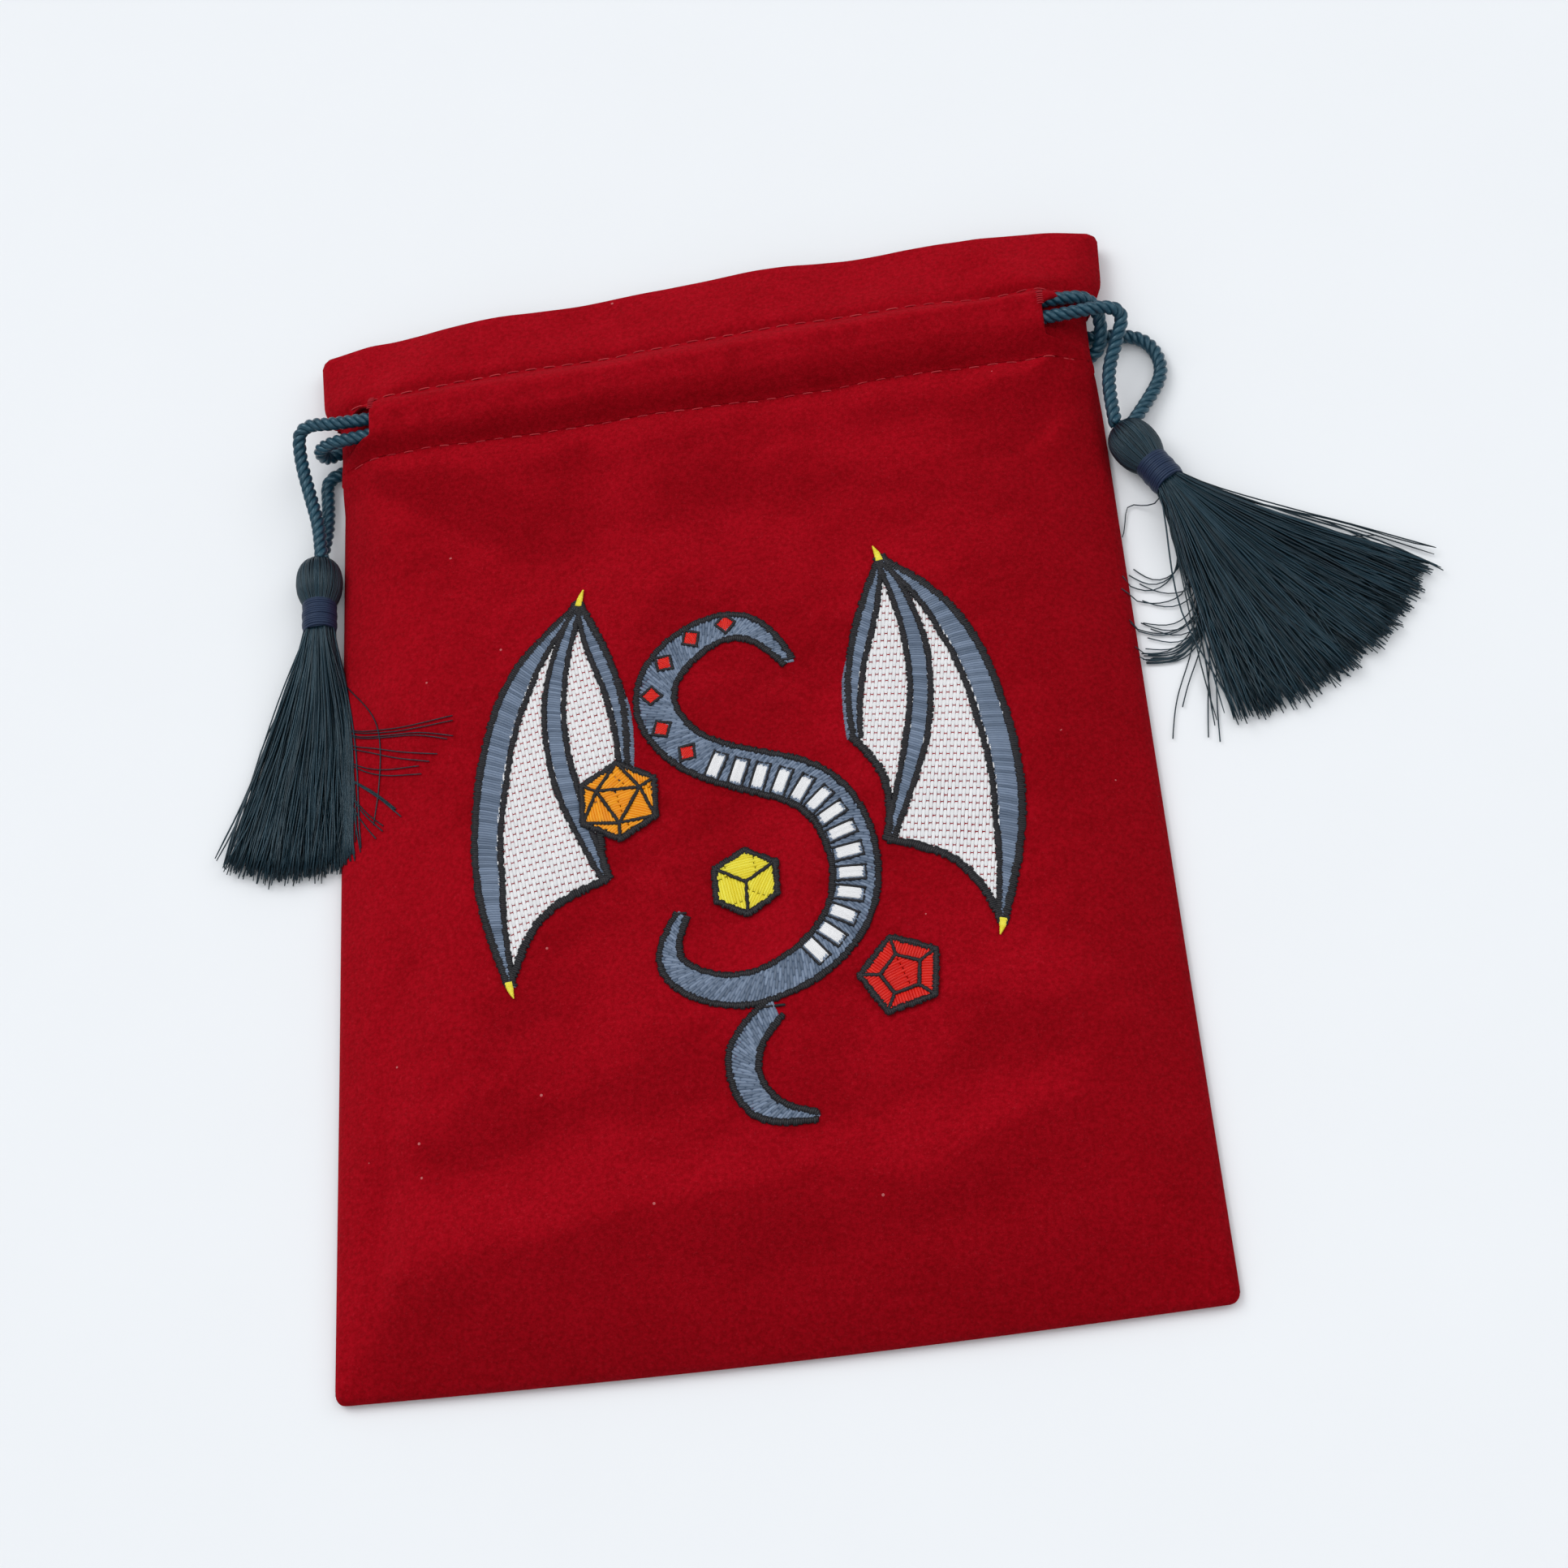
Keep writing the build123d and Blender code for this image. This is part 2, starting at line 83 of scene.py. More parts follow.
# the cords' routes from part.py, in millimetres, with some points moved
FRONT_CORD_Z = 10.15
BACK_CORD_Z = 1.85
LEFT_ROUTE = [
    (-65.5, 49.3, 5.1), (-65.6, 54.5, 5.3), (-67.0, 60.6, 5.9), (-68.6, 68.2, 6.8), (-68.0, 73.0, 9.3),
    (-59.5, 71.0, FRONT_CORD_Z), (-1.0, 72.7, FRONT_CORD_Z), (57.6, 74.3, FRONT_CORD_Z),
    (64.3, 74.9, 7.6), (64.2, 67.4, 1.9), (57.6, 67.4, BACK_CORD_Z), (-1.0, 67.3, BACK_CORD_Z),
    (-58.5, 67.4, BACK_CORD_Z), (-65.6, 67.0, 1.6), (-65.2, 61.4, 1.8), (-65.2, 54.6, 2.3),
    (-66.6, 49.3, 2.7),
]
RIGHT_ROUTE = [
    (64.5, 52.3, 4.9), (64.2, 57.0, 5.1), (64.5, 62.4, 5.4), (66.6, 67.2, 6.4), (68.2, 71.0, 8.0),
    (65.2, 71.6, 9.8), (58.5, 70.8, FRONT_CORD_Z), (1.0, 69.6, FRONT_CORD_Z), (-58.5, 68.4, FRONT_CORD_Z),
    (-65.2, 68.6, 8.2), (-65.3, 69.2, 3.2), (-62.5, 71.4, 1.8), (-57.5, 71.4, BACK_CORD_Z),
    (1.0, 71.5, BACK_CORD_Z), (58.0, 71.4, BACK_CORD_Z), (66.5, 71.2, 1.6), (71.6, 69.4, 1.4),
    (73.4, 63.4, 1.4), (70.4, 58.0, 1.9), (66.6, 52.7, 2.9),
]


# --- camera, light and floor --------------------------------------------------------------------------
LENS, SENSOR = 69.9, 36.0
CAMERA_PLACE = (0.06255, -0.2078, 0.4171)
CAMERA_AZIMUTH, CAMERA_ELEVATION, CAMERA_ROLL = 15.07, 62.73, -21.3
LIGHTS = (                      # name, place, size, power
    ("key", (-0.85, 0.70, 1.45), 1.2, 12.3), ("fill", (1.0, 0.35, 1.0), 1.0, 4.0),
    ("top", (0.05, -0.25, 0.8), 0.9, 2.3),
)
SKY, SKY_STRENGTH = (0.93, 0.96, 1.0, 1), 0.46


def stage():
    """The photograph's camera, a bright room, and a pale floor under the bag."""
    camera = bpy.data.objects.new("camera", bpy.data.cameras.new("camera"))
    bpy.context.scene.collection.objects.link(camera)
    camera.data.sensor_width = SENSOR
    camera.data.lens = LENS
    camera.data.clip_start = 0.01
    camera.location = CAMERA_PLACE
    azimuth, elevation = math.radians(CAMERA_AZIMUTH), math.radians(CAMERA_ELEVATION)
    back = Vector((
        math.sin(azimuth) * math.cos(elevation), -math.cos(azimuth) * math.cos(elevation), math.sin(elevation)
    ))
    camera.rotation_mode = "QUATERNION"
    roll = Quaternion((0, 0, 1), math.radians(CAMERA_ROLL))
    camera.rotation_quaternion = (-back).to_track_quat("-Z", "Y") @ roll
    bpy.context.scene.camera = camera
    bpy.context.scene.view_settings.view_transform = "Standard"

    world = bpy.data.worlds.new("studio")
    bpy.context.scene.world = world
    world.use_nodes = True
    background = world.node_tree.nodes["Background"]
    background.inputs["Color"].default_value = SKY
    background.inputs["Strength"].default_value = SKY_STRENGTH
    for name, place, size, power in LIGHTS:
        light = bpy.data.objects.new(name, bpy.data.lights.new(name, "AREA"))
        bpy.context.scene.collection.objects.link(light)
        light.data.size = size
        light.data.energy = power
        light.location = place
        light.rotation_mode = "QUATERNION"
        light.rotation_quaternion = (-Vector(place)).to_track_quat("-Z", "Y")

    bpy.ops.mesh.primitive_plane_add(size=6, location=(0, 0, 0))
    floor = bpy.context.object
    floor.name = "floor"
    floor.data.materials.append(plain_material("floor", (0.84, 0.862, 0.885), 0.85))


# --- materials ----------------------------------------------------------------------------------------
class Shader:
    """A material under construction: nodes by short calls, with the Principled shader at the end."""

    def __init__(self, name):
        self.material = bpy.data.materials.new(name)
        self.material.use_nodes = True
        self.tree = self.material.node_tree
        self.surface = self.tree.nodes["Principled BSDF"]

    def node(self, kind, **inputs):
        node = self.tree.nodes.new(kind)
        for key, value in inputs.items():
            self.put(node.inputs[key.replace("_", " ")], value)
        return node

    def put(self, socket, value):
        if isinstance(value, bpy.types.NodeSocket):
            self.tree.links.new(value, socket)
        elif isinstance(value, tuple) and len(value) == 3 and len(socket.default_value) == 4:
            socket.default_value = (*value, 1)
        else:
            socket.default_value = value

    def set(self, **inputs):
        for key, value in inputs.items():
            self.put(self.surface.inputs[key.replace("_", " ")], value)

    def coordinates(self):
        return self.tree.nodes.new("ShaderNodeTexCoord").outputs["Object"]

    def attribute(self, name):
        node = self.tree.nodes.new("ShaderNodeAttribute")
        node.attribute_name = name
        return node.outputs["Fac"]

    def noise(self, vector, scale, detail=2.0, roughness=0.5):
        node = self.node("ShaderNodeTexNoise", Vector=vector, Scale=scale, Detail=detail, Roughness=roughness)
        return node.outputs["Fac"]

    def math(self, operation, first, second=0.0):
        node = self.tree.nodes.new("ShaderNodeMath")
        node.operation = operation
        self.put(node.inputs[0], first)
        self.put(node.inputs[1], second)
        return node.outputs[0]

    def ramp(self, factor, stops):
        node = self.tree.nodes.new("ShaderNodeValToRGB")
        self.put(node.inputs[0], factor)
        elements = node.color_ramp.elements
        while len(elements) < len(stops):
            elements.new(0.5)
        for element, (place, colour) in zip(elements, stops):
            element.position = place
            element.color = (*colour, 1)
        return node.outputs["Color"]

    def mix(self, factor, first, second, blend="MIX"):
        node = self.tree.nodes.new("ShaderNodeMix")
        node.data_type = "RGBA"
        node.blend_type = blend
        self.put(node.inputs["Factor"], factor)
        self.put(node.inputs["A"], first)
        self.put(node.inputs["B"], second)
        return node.outputs["Result"]

    def bump(self, height, distance, strength=1.0):
        node = self.node("ShaderNodeBump", Height=height, Distance=distance, Strength=strength)
        self.set(Normal=node.outputs["Normal"])

    def streaks(self, around, along):
        """Coordinates that make noise into fibres: fine across a thread and long along it."""
        node = self.tree.nodes.new("ShaderNodeCombineXYZ")
        self.put(node.inputs[0], self.math("MULTIPLY", self.attribute("across"), around))
        self.put(node.inputs[1], self.math("MULTIPLY", self.attribute("along"), along))
        self.put(node.inputs[2], self.math("MULTIPLY", self.attribute("tone"), 37.0))
        return node.outputs[0]


def plain_material(name, colour, roughness):
    shader = Shader(name)
    grain = shader.noise(shader.coordinates(), 40, 3)
    shader.set(Base_Color=shader.mix(grain, colour, tuple(c * 1.02 for c in colour)), Roughness=roughness)
    return shader.material


LIT_SIDE_DIRECTION = (-0.4, 0.9, 0.0)    # slopes facing this way, to the mouth and the left, get painted light; the others painted shade


def velvet_material():
    """Short dense pile: mottled, painted lighter on slopes that face the lit side and darker on the others, a
    soft sheen, and a few specks of lint.
    """
    shader = Shader("velvet")
    where = shader.coordinates()
    broad = shader.noise(where, 110, 3, 0.5)
    pile = shader.noise(where, 1500, 4, 0.7)
    tuft = shader.noise(where, 2600, 3, 0.7)
    base = shader.ramp(broad, [(0.3, (0.259, 0.0014, 0.0053)), (0.7, (0.289, 0.0018, 0.0066))])
    grain = shader.ramp(pile, [(0.36, (0.80, 0.70, 0.70)), (0.64, (1.17, 1.35, 1.35))])
    pile_tone_and_painted_shading = shader.mix(1.0, base, grain, "MULTIPLY")
    bright = shader.math("MULTIPLY", shader.math("GREATER_THAN", tuft, 0.63), 0.22)
    pile_tone_and_painted_shading = shader.mix(bright, pile_tone_and_painted_shading, (0.42, 0.02, 0.035))
    lint = shader.node("ShaderNodeTexVoronoi", Vector=where, Scale=210.0, Randomness=1.0)
    speck = shader.math("LESS_THAN", lint.outputs["Distance"], 0.045)
    rare = shader.math("GREATER_THAN", shader.noise(where, 160, 2), 0.60)
    # painted light and shade: slopes that face the lit side are painted lighter, and the others darker
    normal = shader.tree.nodes.new("ShaderNodeNewGeometry").outputs["Normal"]
    lean = shader.tree.nodes.new("ShaderNodeVectorMath")
    lean.operation = "DOT_PRODUCT"
    shader.put(lean.inputs[0], normal)
    lean.inputs[1].default_value = LIT_SIDE_DIRECTION
    tilt = shader.math("ADD", lean.outputs["Value"], 0.5)
    painted_slope_shading = shader.ramp(tilt, [
        (0.05, (0.82, 0.76, 0.76)), (0.43, (0.89, 0.85, 0.85)), (0.50, (1.0, 1.0, 1.0)),
        (0.57, (1.09, 1.13, 1.13)), (0.90, (1.22, 1.3, 1.3)),
    ])
    pile_tone_and_painted_shading = shader.mix(1.0, pile_tone_and_painted_shading, painted_slope_shading, "MULTIPLY")
    specks = shader.math("MULTIPLY", shader.math("MULTIPLY", speck, rare), 0.4)
    shader.set(
        Base_Color=shader.mix(specks, pile_tone_and_painted_shading, (0.75, 0.3, 0.3)), Roughness=0.95, Specular_IOR_Level=0.03,
        Sheen_Weight=0.10, Sheen_Roughness=0.5, Sheen_Tint=(1.0, 0.12, 0.16),
    )
    height = shader.math("ADD", shader.math("MULTIPLY", pile, 0.8), shader.math("MULTIPLY", tuft, 0.5))
    shader.bump(height, 0.00022, 0.9)
    return shader.material


def thread_material(name, dark, light, roughness, specular, depth=0.45, tint=(1, 1, 1)):
    """Filament thread: each one a little lighter or darker, with fibres along it."""
    shader = Shader(name)
    fibre = shader.noise(shader.streaks(9.0, 1.2), 1.0, 3, 0.6)
    own = shader.ramp(shader.attribute("tone"), [(0.0, dark), (1.0, light)])
    shader.set(
        Base_Color=shader.mix(shader.math("MULTIPLY", fibre, 0.45), own, tuple(c * depth for c in dark)),
        Roughness=roughness, Specular_IOR_Level=specular, Specular_Tint=tint,
    )
    shader.bump(fibre, 0.00008, 0.7)
    return shader.material


# --- mesh tools ---------------------------------------------------------------------------------------
def new_mesh(name, points, faces, material, attributes=None, smooth=True):
    """A mesh object from millimetre points, with float attributes per point."""
    mesh = bpy.data.meshes.new(name)
    mesh.from_pydata([tuple(p) for p in np.asarray(points) * MM], [], [tuple(f) for f in faces])
    mesh.validate()
    mesh.materials.append(material)
    if smooth:
        mesh.polygons.foreach_set("use_smooth", [True] * len(mesh.polygons))
    for key, values in (attributes or {}).items():
        mesh.attributes.new(key, "FLOAT", "POINT").data.foreach_set("value", np.asarray(values, np.float32))
    mesh.update()
    piece = bpy.data.objects.new(name, mesh)
    bpy.context.scene.collection.objects.link(piece)
    return piece


def grid_faces(rows, columns, start=0, wrap=False):
    faces = []
    last = columns if wrap else columns - 1
    for row in range(rows - 1):
        for column in range(last):
            after = (column + 1) % columns
            a = start + row * columns + column
            b = start + row * columns + after
            faces.append((a, b, b + columns, a + columns))
    return faces


def grid_piece(name, grid, material, flip=False):
    rows, columns = grid.shape[:2]
    faces = grid_faces(rows, columns)
    if flip:
        faces = [tuple(reversed(face)) for face in faces]
    return new_mesh(name, grid.reshape(-1, 3), faces, material)


def thicken(piece, thickness, offset=-1.0):
    modifier = piece.modifiers.new("cloth", "SOLIDIFY")
    modifier.thickness = thickness * MM
    modifier.offset = offset
    modifier.use_rim = False
    return piece


def smoothstep(t):
    t = np.clip(t, 0, 1)
    return t * t * (3 - 2 * t)


def ripple(x, y, wavelength, seed, count=14):
    """Smooth random waves about one wavelength long, from -1 to 1 or so."""
    draw = np.random.default_rng(seed)
    total = np.zeros_like(x, dtype=float)
    for _ in range(count):
        angle = draw.uniform(0, 2 * math.pi)
        number = 2 * math.pi / (wavelength * draw.uniform(0.75, 1.5))
        phase = draw.uniform(0, 2 * math.pi)
        total += np.cos(number * (math.cos(angle) * x + math.sin(angle) * y) + phase)
    return total / math.sqrt(count)


def softened(knots, at, blur):
    """Values through knots, [(place, value), ...], with the corners rounded over blur."""
    places, values = zip(*knots)
    total = np.zeros_like(at, dtype=float)
    offsets = np.linspace(-1, 1, 9)
    weights = 1 - np.abs(offsets) * 0.9
    for offset, weight in zip(offsets, weights):
        total += weight * np.interp(at + offset * blur, places, values)
    return total / weights.sum()


# --- the shape of the cloth ---------------------------------------------------------------------------
OUTLINE = [
    (-90.0, BOTTOM_HALF), (-40, 64.1), (30, 63.0), (57, 62.6), (63.0, 62.3), (66.0, 61.6), (73.5, 61.7),
    (77.5, 64.0), (80, HEADER_HALF), (90.0, HEADER_HALF + 0.5),
]
CORNER = 1.4                    # radius of the upper corners
LOW_CORNER = 2.0                # radius of the lower corners


def half_width(y):
    """Half the width of the bag at y, with its lower and upper corners rounded."""
    width = softened(OUTLINE, y, 1.6)
    over = np.clip(y - (TOP - CORNER), 0, CORNER)
    under = np.clip((BOTTOM + LOW_CORNER) - y, 0, LOW_CORNER)
    width = width - (CORNER - np.sqrt(CORNER ** 2 - over ** 2))
    return width - 0.8 * (LOW_CORNER - np.sqrt(LOW_CORNER ** 2 - under ** 2))


def edge_height(y):
    """Where the front and the back cloth meet."""
    pinched = [(-90, EDGE_Z), (58.5, EDGE_Z), (65, PINCH_Z), (75, PINCH_Z), (80, 3.9), (90, 3.6)]
    return softened(pinched, y, 1.2)


def swell(q, power=2.3):
    """From 0 at an edge to 1, steep at first."""
    return 1 - (1 - np.clip(q, 0, 1)) ** power


def rounded_edge(distance, radius):
    inside = np.clip(distance / radius, 0, 1)
    return radius * np.sqrt(1 - (1 - inside) ** 2)


# soft folds: middle x and y, direction, half-length, half-width, depth
FOLDS = [
    (-45, 52, -38, 16, 3.4, -1.1), (-38, 58, -38, 15, 3.6, 0.7), (-52, 45, -50, 13, 4.0, 0.5),
    (-20, 42, 8, 22, 6.0, -0.6), (57, 57, 48, 9, 2.2, -0.9), (53, 60, 46, 9, 2.4, 0.6),
    (59, 49, 62, 11, 3.0, 0.5), (20, 50, -12, 20, 5.0, 0.6), (-34, -58, 10, 26, 6.0, -1.0),
    (-20, -70, 8, 34, 5.0, 1.1), (14, -76, 7, 30, 4.0, -0.9), (32, -66, 28, 20, 5.0, 0.9),
    (48, -46, -22, 18, 6.0, 0.9), (-52, -30, 80, 22, 5.0, -0.8), (-57, -66, 84, 16, 3.0, -0.9),
]


def bump_at(y, middle, width):
    return np.exp(-((y - middle) / width) ** 2)


def wrinkles(x, y):
    """Soft dents all over, folds running in from the pinched corners, and puckers along the lower row."""
    dents = 0.48 * ripple(x, y, 46, 3) + 0.2 * ripple(x, y, 19, 4)
    fine = 0.05 * ripple(x, y, 6.5, 5)
    pucker = 0.16 * bump_at(y, ROW_LOW - 3.5, 4.0) * ripple(x, y * 0.25, 9, 6)
    folds = np.zeros_like(dents)
    for side, seed in ((-1, 7), (1, 8)):
        across = side * MOUTH_HALF - x
        down = ROW_LOW + 3 - y
        reach = np.hypot(across, down)
        angle = np.arctan2(down, across * side)
        shape = np.cos(angle * 9 + seed) * np.exp(-reach / 19) * smoothstep(reach / 8)
        folds += (0.55 if side < 0 else 1.0) * shape
    for fx, fy, angle, length, width, depth in FOLDS:
        turn = math.radians(angle)
        run = (x - fx) * math.cos(turn) + (y - fy) * math.sin(turn)
        off = (y - fy) * math.cos(turn) - (x - fx) * math.sin(turn)
        folds += depth * np.exp(-(run / length) ** 2 - (off / width) ** 2)
    crease = -0.45 * bump_at(y, ROW_LOW - 0.8, 1.3) + 0.3 * bump_at(y, ROW_LOW - 5.0, 3.0)
    return dents + fine + pucker + folds + crease


CREST = [                       # (y, height of the front cloth away from its edges)
    (-90, PLATEAU), (60, PLATEAU), (64.8, HEM_Z + 0.1), (76, HEM_Z + 0.1), (79, HEM_Z + 0.4), (90, 6.1),
]
SLOPE = [(-90, 27), (40, 25), (62, 16), (75, 10), (82, 9), (90, 9)]        # (y, width of the slope at a side)
STEEPNESS = [(-90, 2.3), (70, 2.3), (82, 1.5), (90, 1.3)]                  # (y, power of that slope)
LOW_SLOPE = 26.0                # width of the slope at the bottom


def front_height(x, y):
    """Outer face of the front cloth."""
    from_side = half_width(y) - np.abs(x)
    from_bottom = y - BOTTOM
    from_edge = np.minimum(from_side, from_bottom)
    side = swell(from_side / softened(SLOPE, y, 4), softened(STEEPNESS, y, 1.0))
    low = swell(from_bottom / LOW_SLOPE)
    edge = edge_height(y)
    round_off = rounded_edge(from_edge, 1.1)
    calm = np.clip(from_edge / 9, 0, 1)
    slope = (softened(CREST, y, 1.5) - edge) * side * low
    return edge + slope + round_off * 0.8 * (1 - side * low) + wrinkles(x, y) * calm


def back_height(x, y):
    """Outer face of the back cloth, on the surface it lies on."""
    from_edge = np.minimum(half_width(y) - np.abs(x), y - BOTTOM)
    rise = edge_height(y) - FLOOR_GAP
    return FLOOR_GAP + rise * (1 - rounded_edge(from_edge, 1.8) / 1.8) ** 1.2


def columns(sign, spacing):
    """Shares of the half-width from the middle to one side, closer together near the side."""
    share = np.linspace(0, 1, int(BOTTOM_HALF / spacing) + 1)
    return sign * np.clip(share + 0.08 * np.sin(share * math.pi), 0, 1)


def panel_grid(sign, high, height, spacing):
    """The body's cloth from the bottom up to high, whose lower edge bulges a little."""
    rows = np.linspace(BOTTOM, high, int((high - BOTTOM) / spacing) + 1)
    rows = np.concatenate([BOTTOM + np.array([0, 0.15, 0.4, 0.75]), rows[1:]])
    share, y = np.meshgrid(columns(sign, spacing), rows)
    x = share * half_width(y)
    bulge = np.cos(x / BOTTOM_HALF * math.pi / 2) * np.clip((BOTTOM + LOW_SLOPE - y) / LOW_SLOPE, 0, 1)
    return np.stack([x, y - bulge, height(x, y)], axis=-1)


SETTLED = [                     # (x, how far the mouth lies from the straight pattern)
    (-67, -2.2), (-57, -1.6), (-50, -1.4), (-38, -1.0), (-26, -0.4), (-12, 0), (38, 0), (52, -0.3),
    (66, -0.9),
]


def settle(x, y):
    """How far the cloth at the mouth lies from the straight pattern along y: the left end is pulled down."""
    pulled = softened(SETTLED, x, 3) * smoothstep((y - 73.5) / 3.5)
    return pulled + (0.8 + 0.3 * np.cos((x - 18) / 22)) * smoothstep((y - 79) / 10)


def gather(piece, nodes):
    """Cloth or thread whose place is baked into its mesh, with the frame parts that it covers hidden."""
    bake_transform(piece)
    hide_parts(*nodes)


def ride(piece, body, node):
    """A piece that moves with one body."""
    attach(piece, body)
    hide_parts(node)


def body_panels(velvet):
    """The front and the back of the bag below the casing, each in two halves that meet at the middle."""
    for side, sign in SIDES:
        for layer, height, top, spacing, seam in (
            ("front", front_height, ROW_LOW + 0.5, 1.15, f"side_seam_{side}"),
            ("back", back_height, ROW_LOW + 0.2, 1.6, "bottom_seam"),
        ):
            flip = (sign < 0) == (layer == "front")
            piece = grid_piece(f"{layer}_body_{side}", panel_grid(sign, top, height, spacing), velvet, flip)
            thicken(piece, CLOTH)
            gather(piece, (f"{layer}_panel", seam))


# --- the mouth: doubled edge, layer under the cords, casing over them ---------------------------------
# (y, distance between the outer and the inner layer)
FRONT_LAYERS = [
    (0, 0.65), (ROW_LOW - 1, 0.65), (ROW_LOW + 0.6, 0.12), (ROW_HIGH - 1, 0.12), (ROW_HIGH + 1, 1.2),
    (99, 1.2),
]
BACK_LAYERS = [
    (0, 0.7), (ROW_LOW, 0.7), (ROW_LOW + 1.2, BACK_HEM_Z - 0.5), (ROW_HIGH - 1.2, BACK_HEM_Z - 0.5),
    (ROW_HIGH + 0.3, 0.7), (99, 0.7),
]


def lip_path():
    """Stations round the doubled edge: (y, share of the way from the outer to the inner layer)."""
    outer = [(y, 0.0) for y in np.linspace(ROW_HIGH - 0.4, TOP - 0.5, 15)]
    bend = np.linspace(0.3, math.pi - 0.3, 6)
    fold = [(TOP - 0.5 + 0.5 * math.sin(a), (1 - math.cos(a)) / 2) for a in bend]
    inner = [(y, 1.0) for y in np.linspace(TOP - 0.6, ROW_LOW - 4.0, 28)]
    return outer + fold + inner


def mouth_grid(sign, front):
    """The doubled edge of one half of one layer: out over the mouth and back down inside."""
    rows = []
    share = columns(sign, 1.3)
    for y, turned in lip_path():
        ys = np.full_like(share, y)
        tuck = turned * (0.9 * smoothstep((ys - ROW_HIGH) / 3.0) + 1.3 * (1 - smoothstep((ys - 61) / 3.0)))
        x = share * (half_width(ys) - tuck)
        if front:
            z = front_height(x, ys) - softened(FRONT_LAYERS, ys, 0.5) * turned
        else:
            raised = softened(BACK_LAYERS, ys, 0.4)
            outer = back_height(x, ys)
            x = share * (half_width(ys) - tuck - 0.45 * turned)
            sunk = (1 - rounded_edge(half_width(ys) - np.abs(x) - 0.4, 2.6) / 2.6) ** 1.2
            inner = (edge_height(ys) - 0.35) * sunk + (FLOOR_GAP + raised + 0.5) * (1 - sunk)
            z = outer * (1 - turned) + inner * turned
        loose = smoothstep((ys - ROW_HIGH) / 10) * smoothstep((64 - np.abs(x)) / 14)
        wave = 0.16 * ripple(x, ys * 0.1, 38, 21) * loose
        rows.append(np.stack([x, ys + wave * 0.8 + settle(x, ys), z], axis=-1))
    return np.array(rows)


def mouth_cloth(velvet):
    """The two layers round the mouth, front and back, each in two halves."""
    for side, sign in SIDES:
        for layer in ("front", "back"):
            front = layer == "front"
            flip = (sign < 0) == front
            piece = grid_piece(f"{layer}_mouth_{side}", mouth_grid(sign, front), velvet, flip)
            thicken(piece, 0.45)
            gather(piece, (f"{layer}_header", f"{layer}_hem"))


def cord_line(route, start, end):
    """The y of a straight stretch of a route as a function of x."""
    xs, ys, _ = zip(*sorted(route[start:end]))
    return lambda x: np.interp(x, xs, ys)


FRONT_UPPER = cord_line(LEFT_ROUTE, 5, 8)
FRONT_LOWER = cord_line(RIGHT_ROUTE, 6, 9)


SLIT_SHAPE = [                  # (y, half-width of the casing)
    (60, 62.6), (66.0, 62.2), (66.6, 60.8), (67.0, 57.4), (67.5, SLIT), (72.8, SLIT), (73.6, 56.8),
    (75.2, 60.0), (76.9, 63.2), (78.5, 64.6),
]


def tent(x, y):
    """The height of the layer under the casing, and how far the front cords hold the casing up from it."""
    lower, upper = FRONT_LOWER(x), FRONT_UPPER(x)
    base = front_height(x, y) + 0.15
    crest = CASING_Z - 0.25 - base
    total = np.zeros_like(base)
    for offset, weight in ((-0.6, 0.12), (-0.3, 0.22), (0, 0.32), (0.3, 0.22), (0.6, 0.12)):
        at = y + offset
        rise = (at - ROW_LOW) / np.maximum(lower - 0.3 - ROW_LOW, 0.8)
        fall = (ROW_HIGH + 0.2 - at) / np.maximum(ROW_HIGH + 0.2 - upper - 0.3, 0.8)
        total += weight * crest * np.sin(math.pi / 2 * np.clip(np.minimum(rise, fall), 0, 1)) ** 0.85
    return base, total


def casing_height(x, y):
    """Cloth drawn over the two front cords, sewn down along both rows and beside the slits."""
    base, rise = tent(x, y)
    beside = 1 - smoothstep((np.abs(x) - SLIT - 0.5) / 5.5)
    rumple = 0.12 * ripple(x, y * 0.25, 12, 31) + 0.07 * ripple(x, y * 0.6, 5, 32)
    return base + rise * beside + rumple * smoothstep(rise / 1.5)


CASING_COLUMNS = 55             # columns from the middle to the slit, before the cloth turns under
CASING_REACH = 60.0


def casing_grid(sign):
    """The casing over the cords, from the middle to the slit, where its edge is turned under."""
    ys = np.concatenate([
        np.linspace(ROW_LOW - 0.4, 66.4, 6)[:-1], np.linspace(66.4, 74.4, 32)[:-1],
        np.linspace(74.4, ROW_HIGH + 0.7, 9),
    ])
    turn = np.linspace(0, math.pi, 7)
    spread = np.linspace(1, 0, CASING_COLUMNS + 1)[:-1] * CASING_REACH
    inward = np.concatenate([spread, 0.3 - 0.3 * np.sin(turn), [0.9, 2.0, 3.2]])
    depth = np.concatenate([np.zeros(CASING_COLUMNS), 0.35 - 0.35 * np.cos(turn), [0.72, 0.72, 0.72]])
    width = np.minimum(softened(SLIT_SHAPE, ys, 0.35), half_width(ys))[:, None]
    share = 1 - inward[None, :] / CASING_REACH
    spread_out = np.arange(len(inward))[None, :] < CASING_COLUMNS
    x = sign * np.where(spread_out, share * width, width - inward[None, :])
    y = np.repeat(ys[:, None], len(inward), axis=1)
    return np.stack([x, y + settle(x, y), casing_height(x, y) - depth[None, :]], axis=-1)


def back_casing_grid(sign):
    """The casing under the back cords, which lies flat."""
    across = sign * np.concatenate([np.linspace(0, SLIT, 40), [SLIT + 0.15, SLIT, SLIT - 1, SLIT - 4]])
    depth = np.concatenate([np.zeros(40), [0.2, 0.42, 0.45, 0.45]])
    x, y = np.meshgrid(across, np.linspace(ROW_LOW - 0.6, ROW_HIGH + 0.4, 16))
    return np.stack([x, y, FLOOR_GAP + 0.02 + depth[None, :] * np.ones_like(y)], axis=-1)


